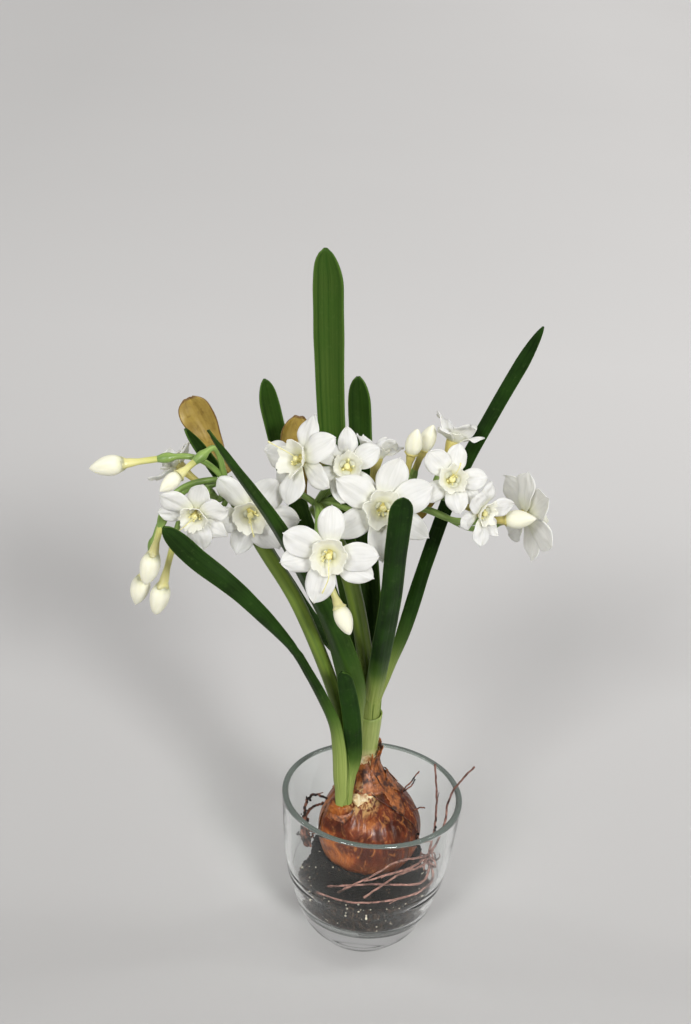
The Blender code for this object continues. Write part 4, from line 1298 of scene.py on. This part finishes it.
# %% [markdown]
# ## The open blooms
#
# A bloom has six petals in two rings of three, a wide soft cup in their middle, and a narrow tube
# behind. A petal is broad, drawn in at its foot, rounded at its end with a small soft point, and
# its edges wave. The cup flares and its rim is torn and frilled. Petals could be copied round a
# circle, but each is made on its own with its own draw of curl, wave and point, which is what
# keeps a white flower from looking stamped.

# %% Shape a petal
PETAL_FOOT = 0.0016
PETAL_THICKNESS = 0.00034


def petal_work(length, width, lift, height, turn, draw):
    """One petal, lifted by an angle and turned round the middle of its flower."""
    widest = draw.uniform(0.46, 0.58)
    bluntness = draw.uniform(2.0, 2.9)
    curl = draw.uniform(-0.13, 0.10)
    waves = draw.uniform(0.0005, 0.0012)
    roll = math.radians(draw.uniform(-13, 13))
    drift = draw.uniform(-0.06, 0.06) * length
    cup = draw.uniform(0.08, 0.26)
    number = draw.uniform(0, 40)

    def place(u, v):
        v = math.sin(v * math.pi / 2) ** 1.1
        if v < widest:
            half = 0.24 + 0.76 * math.sin(math.pi / 2 * v / widest) ** 1.2
        else:
            half = max(1 - ((v - widest) / (1 - widest)) ** bluntness, 0.03) ** 0.72
        half *= 1 + 0.05 * noise.noise(Vector((v * 4, number, 0 if u < 0.5 else 5)))
        across = (u - 0.5) * width * half
        point = 0.032 * math.exp(-((u - 0.5) / 0.13) ** 2) * ease((v - 0.78) / 0.22)
        reach = PETAL_FOOT + (length - PETAL_FOOT) * (v * 0.97 + point)
        edge = abs(u - 0.5) * 2
        arch = math.sin(math.pi * v) * 0.06 * length
        crease = 0.0004 * math.exp(-((u - 0.5) / 0.08) ** 2) * math.sin(math.pi * min(v * 1.1, 1.0))
        soft = noise.noise(Vector((u * 2.6, v * 3.2, number))) * 0.0010 * ease(v * 1.6)
        soft += noise.noise(Vector((u * 6, v * 5, number + 3))) * 0.0004 * ease(v * 1.6)
        wave = waves * edge ** 2 * math.sin(v * 8 + number + (2.4 if u > 0.5 else 0)) * ease(v * 2)
        rise = height + reach * math.sin(lift) + arch - edge * abs(across) * cup
        rise += curl * length * v ** 3 - crease + soft + wave + across * math.sin(roll * v)
        return Vector((across * math.cos(roll * v) + drift * v * v, reach * math.cos(lift), rise))

    work = thicken(weld(sheet(16, 20, place)), PETAL_THICKNESS)
    bmesh.ops.rotate(work, verts=work.verts, matrix=Matrix.Rotation(turn, 3, "Z"))
    return work


print("corners in a petal:", len(petal_work(0.02, 0.012, 0, 0, 0, random.Random(1)).verts))

# %% [markdown]
# The cup is rolled from a grid like a tube, but its radius follows a bell: closed at the bottom of
# the throat, nearly straight at first, and flared at the rim. Its lobes, frills and small tears
# grow with v, so the throat stays round. In its middle stand one big pale knob, the top of the
# style, and a few small anthers.

# %% Shape the cup
CUP_THICKNESS = 0.0004


def cup_work(size, draw):
    """The frilled cup in the middle of a flower."""
    rim = draw.uniform(0.345, 0.385) * size
    deep = 0.30 * size
    phase = draw.uniform(0, 6)
    lobes = draw.uniform(0.04, 0.08)

    def place(u, v):
        turn = 2 * math.pi * u
        radius = between([(0.0, 0.0), (0.07, 0.0016), (0.16, 0.0030), (0.55, rim * 0.70), (1.0, rim)], v)
        height = between([(0.0, -0.0012), (0.07, -0.0010), (0.16, 0.0008), (0.55, deep * 0.50),
                          (1.0, deep)], v)
        open_share = ease((v - 0.25) / 0.75)
        round_place = Vector((math.cos(turn), math.sin(turn), 0))
        ruffle = noise.noise(round_place * 1.9 + Vector((0, 0, phase)))
        frill = noise.noise(round_place * 5.5 + Vector((0, 0, phase + v)))
        tear = noise.noise(round_place * 11 + Vector((0, 0, phase + 3)))
        radius *= 1 + open_share * (lobes * math.cos(6 * turn + phase) + 0.20 * ruffle)
        height += open_share ** 2 * (0.0018 * ruffle + 0.0008 * frill) + open_share ** 6 * 0.0011 * tear
        radius += open_share ** 3 * 0.0008 * frill
        return round_place * radius + Vector((0, 0, height))

    return thicken(weld(sheet(76, 16, place)), CUP_THICKNESS)


print("cup corners:", len(cup_work(0.02, random.Random(2)).verts))

# %% Shape the tube behind the cup and the parts inside it
TUBE_STEPS = 18
TUBE_RADIUS = 0.0015
TUBE_TOP_RADIUS = 0.0030


def flower_tube_work():
    """The narrow tube behind a flower, on -Z, flaring where the petals begin."""
    points, radii = [], []
    for k in range(TUBE_STEPS):
        share = k / (TUBE_STEPS - 1)
        points.append(Vector((0, 0, -TUBE_LENGTH + (TUBE_LENGTH + 0.0004) * k / (TUBE_STEPS - 1))))
        radii.append(between([(0.0, TUBE_RADIUS), (0.45, TUBE_RADIUS * 1.12),
                              (1.0, TUBE_TOP_RADIUS)], share))
    return tube(closed_points(points, 0.0006), closed_radii(radii), 16,
                lambda turn, share: 1 + 0.04 * math.cos(3 * turn) * share)


def heart_work(size, draw):
    """The pale knob of the style with a few small anthers beside it."""
    made = bmesh.new()
    top = 0.19 * size
    style = [Vector((0, 0, -0.001 + (top + 0.001) * k / 12)) for k in range(13)]
    knob = [0.0007] * 8 + [0.0009, 0.00125, 0.00145, 0.0014, 0.0009]
    join_into(made, tube(closed_points(style, 0.0003), closed_radii(knob), 12))
    for index in range(draw.choice((2, 3, 4))):
        turn = draw.uniform(0, 2 * math.pi)
        out = Vector((math.cos(turn), math.sin(turn), 0))
        low = out * 0.0016 + Vector((0, 0, top * draw.uniform(0.1, 0.4)))
        high = out * draw.uniform(0.0018, 0.0034) + Vector((0, 0, top * draw.uniform(0.7, 1.1)))
        points = smooth_line([low, low.lerp(high, 0.5) + out * 0.0005, high], 7)
        radii = [0.00022, 0.00024, 0.00026, 0.0003, 0.00045, 0.00052, 0.00034]
        join_into(made, tube(closed_points(points, 0.0002), closed_radii(radii), 8))
    return made


def placing(at, face):
    """The matrix that takes a flower modelled on +Z to its place, facing its way."""
    return Matrix.Translation(at) @ face.to_track_quat("Z", "Y").to_matrix().to_4x4()


print("flower tube corners:", len(flower_tube_work().verts))

# %% [markdown]
# Petals look white, but a white surface with nothing in it looks like plaster. Their finish has a
# faint grey veining along the growth lines, a greenish cream at the foot, and light passing under
# the surface. The cup is creamier, and its throat turns yellow-green.

# %% Bloom finishes
def petal_finish(name, body_colour, vein_colour, foot_colour, foot_reach):
    """A thin white skin with faint veins, and another colour at its foot."""
    made, tree, shader = start_finish(name, Subsurface_Weight=0.45, Subsurface_Scale=0.004,
                                      Subsurface_Radius=(1.0, 0.95, 0.75), Specular_IOR_Level=0.3)
    veins = place_group(tree, growth_lines, Lines=13.0, Length=1.2)
    fine = place_group(tree, growth_lines, Lines=46.0, Length=2.2)
    colour = mixed(tree, sums(tree, "MULTIPLY", veins["Mask"], 0.4), body_colour, vein_colour)
    colour = mixed(tree, stretch(tree, uv_parts(tree)[1], 0.0, foot_reach, 0.9, 0.0), colour, foot_colour)
    colour_and_gloss(tree, shader, colour, fine["Height"], 0.45, 0.62)
    relief = sums(tree, "ADD", veins["Height"], sums(tree, "MULTIPLY", fine["Height"], 0.4))
    add_bump(tree, shader, relief, 0.0003, 0.35)
    return made


petal_white = petal_finish("petal white", paint(236, 235, 228), paint(214, 214, 205),
                           paint(226, 228, 190), 0.32)
cup_cream = petal_finish("cup cream", paint(234, 233, 218), paint(226, 226, 202),
                         paint(222, 219, 138), 0.55)


def tube_finish(name, low_colour, high_colour, tint):
    """One colour at the foot of a flower's tube and another where its petals begin."""
    made, tree, shader = start_finish(name, Subsurface_Weight=0.3, Subsurface_Scale=0.003)
    lines = place_group(tree, growth_lines, Lines=8.0, Length=1.0)
    colour = mixed(tree, stretch(tree, uv_parts(tree)[1], 0.05, 0.75), low_colour, high_colour)
    colour = mixed(tree, sums(tree, "MULTIPLY", lines["Mask"], 0.5), colour, tint)
    colour_and_gloss(tree, shader, colour, lines["Height"], 0.26, 0.42)
    add_bump(tree, shader, lines["Height"], 0.0004, 0.5)
    return made


tube_tan = tube_finish("tube tan", paint(148, 150, 72), paint(200, 190, 114), paint(172, 148, 74))
tube_green = tube_finish("tube green", paint(186, 190, 106), paint(222, 216, 156), paint(206, 200, 122))

anther_yellow, tree, shader = start_finish("anther yellow", Subsurface_Weight=0.3, Subsurface_Scale=0.002)
dust = place_group(tree, blotches, Scale=1500.0, Low=0.4, High=0.65)
colour = mixed(tree, dust["Mask"], paint(238, 233, 178), paint(226, 216, 138))
colour_and_gloss(tree, shader, colour, dust["Height"], 0.45, 0.8)
add_bump(tree, shader, dust["Mask"], 0.0002, 0.6)
print("bloom finishes ready")

# %% Make the blooms
INNER_PETAL_WIDTH = 0.63
OUTER_PETAL_WIDTH = 0.54
LARGEST_CUP_SIZE = 0.0235
FIRST_BLOOM_SEED = 41


def bloom_work(spec, seed):
    """A whole bloom: six petals in two rings, the cup, the tube and the parts inside."""
    draw = random.Random(seed)
    length = spec["petal"] * 0.001
    face = Vector(spec["face"]).normalized()
    made = bmesh.new()
    for index, turn in enumerate(spec["turns"]):
        inner = index % 2 == 0
        lift = math.radians(spec["cup"] + (3 if inner else -3) + draw.uniform(-4, 4))
        height = 0.0006 if inner else -0.0008
        width = length * (INNER_PETAL_WIDTH if inner else OUTER_PETAL_WIDTH) * draw.uniform(0.88, 1.08)
        petal = petal_work(length * draw.uniform(0.96, 1.03), width, lift, height,
                           math.radians(turn - 90), draw)
        join_into(made, petal, 0)
    size = min(length, LARGEST_CUP_SIZE)
    join_into(made, cup_work(size, draw), 1)
    join_into(made, flower_tube_work(), 2)
    join_into(made, heart_work(size, draw), 3)
    bmesh.ops.transform(made, verts=made.verts, matrix=placing(mm(*spec["at"]), face))
    return made


all_blooms = {name: spec for blooms in BLOOMS.values() for name, spec in blooms.items()}
for seed, (bloom_name, bloom_spec) in enumerate(all_blooms.items(), FIRST_BLOOM_SEED):
    make_piece(bloom_name + "_flower", bloom_work(bloom_spec, seed),
               [petal_white, cup_cream, tube_tan, anther_yellow], [bloom_name])

# %% [markdown]
# Some of the threads have grown past the rim of their cup: pale yellow hairs, one hanging over the
# front bloom and one standing out sideways from its neighbour. Each is a thin tube through a few
# places measured from the middle of its bloom.

# %% Long threads
THREAD_RADII = [0.00026] * 17 + [0.00032, 0.00042, 0.00038]
THREADS = [
    ("bloom_middle_front", [(0, -0.5, 3), (0.3, -3.5, 7.0), (0.6, -8.5, 8.4), (-0.6, -13, 7.0),
                            (-1.6, -16, 5.6)]),
    ("bloom_middle_side", [(0, 0.5, 3), (-1.0, 2.0, 8), (-2.6, 3.2, 13), (-5.0, 4.4, 18)]),
    ("bloom_left_front", [(0, 0, 3), (-2.5, -2, 6.5), (-5.5, -4.5, 8.5), (-8.0, -6.5, 8.8)]),
    ("bloom_left_large", [(0, -1, 3), (1.0, -4, 6.5), (2.6, -8.5, 7.6)]),
    ("bloom_right_upper", [(0, 0, 3), (1.0, 2.5, 7), (2.2, 5.0, 8.6), (2.6, 7.0, 8.8)]),
]
thread_work = bmesh.new()
for bloom_name, route in THREADS:
    spec = all_blooms[bloom_name]
    place = placing(mm(*spec["at"]), Vector(spec["face"]).normalized())
    points = smooth_line([place @ mm(*step) for step in route], len(THREAD_RADII))
    join_into(thread_work, tube(closed_points(points, 0.0002), closed_radii(THREAD_RADII), 8))
make_piece("bloom_threads", thread_work, [anther_yellow])

# %% [markdown]
# ## The buds
#
# A bud is the same flower still shut: a slim tube, a slightly flared ragged collar, and a creamy
# pointed head in which three outer petals are wrapped round each other. The head is a rolled tube
# whose section has three soft lobes that wind as they rise, so the wrapped edges show as folds.

# %% Shape a bud
LONGEST_BUD_HEAD = 0.0155
BUD_HEAD_STEPS = 36
BUD_TUBE_STEPS = 22


def bud_work(start, tip, draw):
    """A whole bud from the foot of its tube to its tip."""
    start, tip = mm(*start), mm(*tip)
    whole = (tip - start).length
    head = min(LONGEST_BUD_HEAD, whole * 0.54)
    fat = head * 0.31
    blunt = draw.uniform(0.56, 0.84)
    stem_length = whole - head
    wind = draw.uniform(0.5, 1.1)
    phase = draw.uniform(0, 6)
    heads, radii = [], []
    for k in range(BUD_HEAD_STEPS):
        share = k / (BUD_HEAD_STEPS - 1)
        heads.append(Vector((0, 0, whole - head * 1.04 * (1 - share))))
        power = 1.1 if share < 0.375 else blunt
        radii.append(max(fat * math.sin(math.pi * (0.20 + 0.80 * share)) ** power, 0.00015))

    def wrapped(turn, share):
        fold = 0.5 + 0.5 * math.cos(3 * turn + wind * 3 * share + phase)
        uneven = noise.noise(Vector((math.cos(turn) * 1.5, math.sin(turn) * 1.5, share * 3 + phase)))
        return (1 - 0.085 * (1 - fold ** 0.35) * ease(share * 5)) * (1 + 0.05 * uneven)

    made = bmesh.new()
    join_into(made, tube([heads[0] - Vector((0, 0, 0.0004)), *heads], [0.0, *radii], 36, wrapped), 0)
    line, tube_radii = [], []
    for k in range(BUD_TUBE_STEPS):
        share = k / (BUD_TUBE_STEPS - 1)
        line.append(Vector((0, 0, stem_length * 1.05 * share)))
        tube_radii.append(between([(0.0, TUBE_RADIUS), (0.50, TUBE_RADIUS), (0.84, 0.0022),
                                   (1.0, 0.0033)], share))

    def ragged(turn, share):
        return 1 + 0.05 * math.cos(3 * turn + phase) + 0.10 * ease((share - 0.9) * 10) * math.cos(5 * turn)

    ends = Vector((0, 0, 0.0005))
    join_into(made, tube([line[0] - ends, *line, line[-1] - ends], [0.0, *tube_radii, 0.0], 24, ragged), 1)
    bmesh.ops.transform(made, verts=made.verts, matrix=placing(start, (tip - start).normalized()))
    return made


FIRST_BUD_SEED = FIRST_BLOOM_SEED + len(all_blooms)
print("seed of the first bud:", FIRST_BUD_SEED)

# %% Make the buds
bud_cream = petal_finish("bud cream", paint(232, 230, 212), paint(220, 220, 190),
                         paint(208, 210, 152), 0.24)
seed = FIRST_BUD_SEED
for umbel_name, buds in BUDS.items():
    finish = tube_tan if umbel_name == "umbel_right" else tube_green
    for bud_name, (bud_start, bud_tip) in buds.items():
        make_piece(bud_name + "_flower", bud_work(bud_start, bud_tip, random.Random(seed)),
                   [bud_cream, finish], [bud_name])
        seed += 1

# %% [markdown]
# ## The dry bracts
#
# The skin that wrapped each young umbel has split and dried into golden-brown paper. Each bract is
# a thin sheet, cupped along its length, blunt at its end, its surface puckered by soft noise.

# %% Shape the bracts
BRACT_ALONG = 44
BRACT_CURL = 0.012
BRACT_THICKNESS = 0.0004
BRACTS = {
    "bract_left": dict(widths=[(0, 4), (0.40, 11.5), (0.80, 17.5)], tip=0.80,
                       route=[(-79, 17, 245), (-87, 18.5, 255), (-92.5, 20, 266), (-100.5, 20, 279)]),
    "bract_middle": dict(widths=[(0, 5), (0.40, 12.5), (0.70, 16)], tip=0.70,
                         route=[(-45, 15, 235), (-48.5, 19, 248), (-49.5, 21, 261), (-49, 21, 274)]),
    "bract_right": dict(widths=[(0, 8), (0.20, 12)], tip=0.20,
                        route=[(5, 14, 230), (10, 16, 237), (17, 17, 246)]),
}


def bract_work(spec, number):
    """One bract along its route, its hollow side to the front."""
    points = smooth_line([mm(*place) for place in spec["route"]], BRACT_ALONG + 1)
    facing = Vector((0, 1, 0))

    def width_at(share):
        width = between(spec["widths"], share) * 0.001
        if share > spec["tip"]:
            width *= max(0.10, 1 - ((share - spec["tip"]) / (1 - spec["tip"])) ** 2.6) ** 0.55
        return width

    def place(u, v):
        index = round(v * BRACT_ALONG)
        tangent = (points[min(index + 1, BRACT_ALONG)] - points[max(index - 1, 0)]).normalized()
        side = tangent.cross(facing).normalized()
        front = side.cross(tangent)
        reach = (u - 0.5) * width_at(v)
        bend = reach / BRACT_CURL
        pucker = noise.noise(Vector((u * 3, v * 5, number))) * 0.0011
        pucker += noise.noise(Vector((u * 8, v * 4, number + 4))) * 0.0005
        back = (1 - math.cos(bend)) * BRACT_CURL + pucker
        return points[index] + side * math.sin(bend) * BRACT_CURL - front * back

    return smoothed(thicken(weld(sheet(24, BRACT_ALONG, place)), BRACT_THICKNESS))


print("bracts:", len(BRACTS))

# %% Bract finish, and make them
bract_paper, tree, shader = start_finish("bract paper", Subsurface_Weight=0.35, Subsurface_Scale=0.003)
lines = place_group(tree, growth_lines, Lines=11.0, Length=1.3)
clouds = place_group(tree, blotches, Scale=120.0, Low=0.36, High=0.64)
dots = place_group(tree, blotches, Scale=420.0, Low=0.58, High=0.70, Seed=3.0)
colour = mixed(tree, clouds["Mask"], paint(158, 134, 60), paint(122, 98, 34))
colour = mixed(tree, sums(tree, "MULTIPLY", lines["Mask"], 0.35), colour, paint(176, 150, 78))
colour = mixed(tree, sums(tree, "MULTIPLY", dots["Mask"], 0.5), colour, paint(104, 76, 28))
uv = uv_parts(tree)
off_middle = sums(tree, "ABSOLUTE", sums(tree, "SUBTRACT", uv[0], 0.5))
rim = stretch(tree, off_middle, 0.455, 0.485, 0.0, 0.85)
rim = sums(tree, "MAXIMUM", rim, stretch(tree, uv[1], 0.965, 0.985, 0.0, 0.85))
colour = mixed(tree, rim, colour, paint(88, 54, 26))
colour_and_gloss(tree, shader, colour, clouds["Height"], 0.36, 0.62)
add_bump(tree, shader, sums(tree, "ADD", lines["Height"], clouds["Height"]), 0.0006, 0.6)
for number, (bract_name, bract_spec) in enumerate(BRACTS.items()):
    make_piece(bract_name + "_paper", bract_work(bract_spec, number), [bract_paper],
               [bract_name])

# %% [markdown]
# ## The roots
#
# Roots that grew down inside the glass have dried and come loose. Each strand is a single tube with
# a wavering radius, nearly straight like a wire, and the strands of one side share a knot where
# they tangle. A thin root and a few stubs still cling to the bulb itself; they are laid on its
# surface, and bits of peat hang in the tangle on the left.

# %% Where the roots run
RIGHT_KNOT = (31, -7, 53.5)
RIGHT_ROOTS = [
    [RIGHT_KNOT, (33, 0, 64), (32.5, 2, 80), (31, 4, 92), (30, 5, 99)],
    [RIGHT_KNOT, (36, -1, 58), (38, 1, 70), (38.5, 1.5, 80), (41.5, 1, 90), (49, 0, 103)],
    [RIGHT_KNOT, (26, -18, 60), (14, -28, 64), (4, -31, 58), (-13, -31, 45)],
    [RIGHT_KNOT, (23, -20.5, 56.5), (14, -28, 57.5), (-1, -31, 53)],
    [RIGHT_KNOT, (27, -17, 54.5), (17, -27.5, 57), (11, -30, 54), (-0.6, -32, 44)],
    [RIGHT_KNOT, (30.5, -15, 49), (24, -25.5, 49.5), (4, -31.5, 52), (-18, -30, 47.5)],
    [RIGHT_KNOT, (33, -14, 45.5), (27, -22.5, 43.5), (18, -28.5, 43), (4, -32, 41.5), (-10, -31.5, 40.5),
     (-23, -27, 41)],
]
LEFT_KNOT = (-30, -8, 54)
LEFT_FORK = (-32.5, -9, 68)
LEFT_ROOTS = [
    [LEFT_KNOT, (-32.5, -8, 60), LEFT_FORK, (-33, -8, 76), (-32, -8, 81), (-29.5, -9, 85), (-26, -12, 87),
     (-22.5, -15, 88)],
    [LEFT_KNOT, (-31.5, -9, 61), LEFT_FORK, (-31, -9, 75), (-28, -11, 80), (-24, -14, 84)],
    [LEFT_KNOT, (-33, -6, 60), (-31, -4, 67)],
    [LEFT_KNOT, (-31.5, -11, 58), (-33.5, -10, 66), (-33, -9.5, 72)],
]
# Thin roots on the bulb: (angle in degrees, height) of the places each passes over.
CLINGING_ROOTS = [[(-86, 89), (-72, 87), (-57, 84.5), (-45, 81), (-35, 77.5), (-26, 72), (-18, 66)],
                  [(-60, 97), (-50, 92), (-42, 88)]]
STUBS = [[(14, 3, 82), (18, 5, 86), (22.5, 8, 92)], [(13, 4, 80), (19, 6, 84), (21, 7, 88)],
         [(21, -2, 75), (24, -1, 76.5), (27, 0, 76)]]
print("roots:", len(RIGHT_ROOTS) + len(LEFT_ROOTS) + len(CLINGING_ROOTS) + len(STUBS))

# %% Shape a strand, its hairs and its curls
ROOT_TAPER = 0.30
HAIR_WANDER = 0.0002
HAIR_SHARE = 0.36


def root_strand(route, thickness, wander):
    """A wavering tube along a route that grows thinner towards its end, and its points."""
    points = smooth_line(route, max(16, len(route) * 9))
    shift = draw.uniform(0, 50)
    for index, point in enumerate(points):
        swing = wander * ease(4 * index / (len(points) - 1))
        point += Vector([noise.noise(Vector((index * 0.33, shift, axis))) for axis in (0, 5, 9)]) * swing
    radii = []
    for index in range(len(points)):
        share = index / (len(points) - 1)
        uneven = 1 + 0.24 * noise.noise(Vector((index * 0.6, shift, 2)))
        radii.append(thickness * (1 - ROOT_TAPER * share) * uneven)
    radii[-2] *= 1.25
    radii[-1] *= 1.15
    return tube(closed_points(points, 0.0003), closed_radii(radii), 8), points


def add_loops(work, knot, count, spread, size, thickness):
    """Short curls of root tangled round the knot."""
    for number in range(count):
        middle = knot + Vector((draw.uniform(-1, 1), draw.uniform(-1, 1), draw.uniform(-1.2, 1))) * spread
        axis = Vector((draw.uniform(-1, 1), draw.uniform(-1, 1), draw.uniform(-1, 1))).normalized()
        side = axis.orthogonal().normalized()
        reach = draw.uniform(0.6, 1.2) * size
        route = []
        for step in range(6):
            turn = step * draw.uniform(0.8, 1.1)
            circle = side * math.cos(turn) + axis.cross(side) * math.sin(turn)
            route.append(middle + circle * reach + axis * step * 0.0004)
        join_into(work, root_strand(route, thickness, HAIR_WANDER)[0])


def root_work(strands, thickness, wander):
    """The strands of one side, each with one fine hair that leaves it somewhere on its way."""
    made = bmesh.new()
    for strand in strands:
        part, points = root_strand([mm(*place) for place in strand], thickness, wander)
        join_into(made, part)
        index = draw.randrange(len(points) - 6)
        ahead = points[index + 5] - points[index]
        away = Vector((draw.uniform(-1, 1), draw.uniform(-1, 1), draw.uniform(-1, 1))) * 0.0016
        hair = [points[index], points[index] + ahead * 0.6 + away * 0.4,
                points[index] + ahead * draw.uniform(0.9, 1.4) + away]
        join_into(made, root_strand(hair, thickness * HAIR_SHARE, HAIR_WANDER)[0])
    return made


print("share of a strand's thickness in its hair:", HAIR_SHARE)

# %% [markdown]
# Dry roots are a dull pinkish brown, clouded darker where soil clings to them. Those on the left
# and on the bulb are darker than those on the right, so there are two finishes of one kind.

# %% Root finishes
def root_finish(name, first, second, marks, soil_low):
    """Bark in two browns, with clouds of soil that start at a level of the blotches."""
    made, tree, shader = start_finish(name, Specular_IOR_Level=0.3)
    bark = place_group(tree, blotches, Scale=480.0, Low=0.38, High=0.62)
    soiled = place_group(tree, blotches, Scale=240.0, Low=soil_low, High=soil_low + 0.08, Seed=7.0)
    colour = mixed(tree, bark["Mask"], first, second)
    colour = mixed(tree, soiled["Mask"], colour, marks)
    colour_and_gloss(tree, shader, colour, bark["Height"], 0.55, 0.85)
    add_bump(tree, shader, bark["Height"], 0.0005, 0.8)
    return made


dry_root = root_finish("dry root", paint(136, 100, 90), paint(96, 66, 58), paint(62, 40, 33), 0.53)
dark_root = root_finish("dark root", paint(118, 76, 60), paint(78, 46, 36), paint(28, 20, 16), 0.49)
print("finishes:", dry_root.name, "and", dark_root.name)

# %% Make the roots
RIGHT_ROOT_RADIUS = 0.00066
LEFT_ROOT_RADIUS = 0.00085
CLINGING_RADIUS = 0.00034
STUB_RADIUS = 0.00046
draw = random.Random(5)
right_work = root_work(RIGHT_ROOTS, RIGHT_ROOT_RADIUS, 0.00035)
add_loops(right_work, mm(32, -9, 53), 9, 0.0030, 0.0034, 0.00045)
make_piece("roots_right_strands", right_work, [dry_root], ["roots_right"])
left_work = root_work(LEFT_ROOTS, LEFT_ROOT_RADIUS, 0.0006)
add_loops(left_work, mm(-31, -8, 60), 7, 0.0022, 0.0026, 0.0006)
make_piece("roots_left_strands", left_work, [dark_root], ["roots_left"])

clinging_work = bmesh.new()
for strand in CLINGING_ROOTS:
    route = [on_bulb(math.radians(angle), height * 0.001, 0.0004) for angle, height in strand]
    join_into(clinging_work, root_strand(route, CLINGING_RADIUS, 0.0002)[0])
for strand in STUBS:
    join_into(clinging_work, root_strand([mm(*place) for place in strand], STUB_RADIUS, 0.0003)[0])
make_piece("roots_on_bulb", clinging_work, [dark_root])

# %% Hang the bits of peat in the tangle
PEAT_CLUSTERS = [(mm(-32.5, -8.5, 62), 26, 3.2), (mm(-32.5, -8, 72), 16, 2.2),
                 (mm(-31.5, -8.5, 81), 10, 1.4), (mm(33, -2, 66), 8, 1.6), (mm(24.5, -10.5, 66), 6, 1.2)]
peat_bits = bmesh.new()
peat_tone = peat_bits.verts.layers.float.new("tone")
for middle, count, spread in PEAT_CLUSTERS:
    for number in range(count):
        shift = Vector((draw.gauss(0, 0.4), draw.gauss(0, 0.3), draw.gauss(0, 0.9))) * spread * 0.001
        add_lump(peat_bits, peat_tone, middle + shift, draw.uniform(0.0004, 0.0011), draw.uniform(0.0, 0.4))
for face in peat_bits.faces:
    face.smooth = False
make_piece("peat_bits", peat_bits, [loose_crumbs])

# %% [markdown]
# ## The studio
#
# A plain pale floor that runs far back, and soft light from the front right and the front left, so
# the white petals keep their shape and each light leaves a faint wide shadow on the other side.
# The floor's colour holds painted light and shade: it grows a little paler with depth, a little
# darker to the left, and has faint soft blotches of painted shade.

# %% Lay the floor
FLOOR_REACH = 9.0
floor_work = bmesh.new()
bmesh.ops.create_grid(floor_work, x_segments=1, y_segments=1, size=FLOOR_REACH)
floor_data = bpy.data.meshes.new("floor")
floor_work.to_mesh(floor_data)
floor_work.free()
floor = bpy.data.objects.new("floor", floor_data)
bpy.context.scene.collection.objects.link(floor)
pale_floor, tree, shader = start_finish("pale floor", Roughness=0.9, Specular_IOR_Level=0.1)
# Faint soft blotches of painted shade on the floor.
shade = place_group(tree, blotches, Scale=1.4, Low=0.3, High=0.7)
# Painted light: the floor's colour grows paler with depth.
depth = stretch(tree, along_axis(tree, 1), -0.15, 0.85)
colour = mixed(tree, depth, paint(191, 190, 189), paint(216, 215, 214))
colour = mixed(tree, sums(tree, "MULTIPLY", shade["Mask"], 0.06), colour, paint(170, 169, 168))
# Painted shade: the floor's colour grows darker to the left, away from the stronger light on the right.
painted_side_shade = stretch(tree, along_axis(tree, 0), -0.5, 0.4, 0.0, 1.0)
colour = mixed(tree, painted_side_shade, mixed(tree, 0.30, colour, paint(140, 140, 139)), colour)
tree.links.new(colour, shader.inputs["Base Color"])
floor_data.materials.append(pale_floor)
print("floor across, in metres:", FLOOR_REACH * 2)

# %% [markdown]
# The two main lights are suns with a wide disc, because a sun lights a deep floor evenly. Two small
# panels each add a soft streak of light to one side of the glass. The surroundings are darker in
# front, where the glass would otherwise mirror them and look milky.

# %% Set the lights and the surroundings
PLANT_MIDDLE = (0, 0, 0.12)


def aimed(name, data, place):
    """Puts a light at a place and turns it to the middle of the plant."""
    lamp = bpy.data.objects.new(name, data)
    bpy.context.scene.collection.objects.link(lamp)
    lamp.location = place
    lamp.rotation_mode = "QUATERNION"
    lamp.rotation_quaternion = (Vector(PLANT_MIDDLE) - Vector(place)).to_track_quat("-Z", "Y")


def soft_sun(name, place, strength, spread):
    """A sun that shines from a place towards the plant, its disc so many degrees wide."""
    data = bpy.data.lights.new(name, "SUN")
    data.energy = strength
    data.angle = math.radians(spread)
    data.color = (1.0, 0.992, 0.984)
    aimed(name, data, place)


def soft_panel(name, place, size, power):
    """A small lit panel of a width and a height."""
    data = bpy.data.lights.new(name, "AREA")
    data.shape = "RECTANGLE"
    data.size, data.size_y = size
    data.energy = power
    aimed(name, data, place)


soft_sun("sun_right", (0.50, -0.95, 0.76), 2.20, 13)
soft_sun("sun_left", (-0.50, -0.95, 0.80), 1.45, 14)
soft_sun("sun_above", (0.1, 0.35, 1.0), 0.25, 70)
soft_panel("panel_right", (0.75, 0.20, 1.10), (0.10, 0.40), 2.2)
soft_panel("panel_left", (-1.10, 0.10, 0.75), (0.10, 0.45), 2.2)

WORLD_STRENGTH = 0.72
world = bpy.data.worlds.new("studio")
world.use_nodes = True
bpy.context.scene.world = world
tree = world.node_tree
sky = tree.nodes["Background"]
towards = add_node(tree, "ShaderNodeTexCoord")
depth = add_node(tree, "ShaderNodeSeparateXYZ", {0: towards.outputs["Generated"]}).outputs[1]
tree.links.new(mixed(tree, stretch(tree, depth, -0.7, 0.5), paint(120, 119, 118), paint(190, 188, 187)),
               sky.inputs["Color"])
sky.inputs["Strength"].default_value = WORLD_STRENGTH
bpy.context.scene.view_settings.view_transform = "Standard"
print("lights: 3 suns and 2 panels")
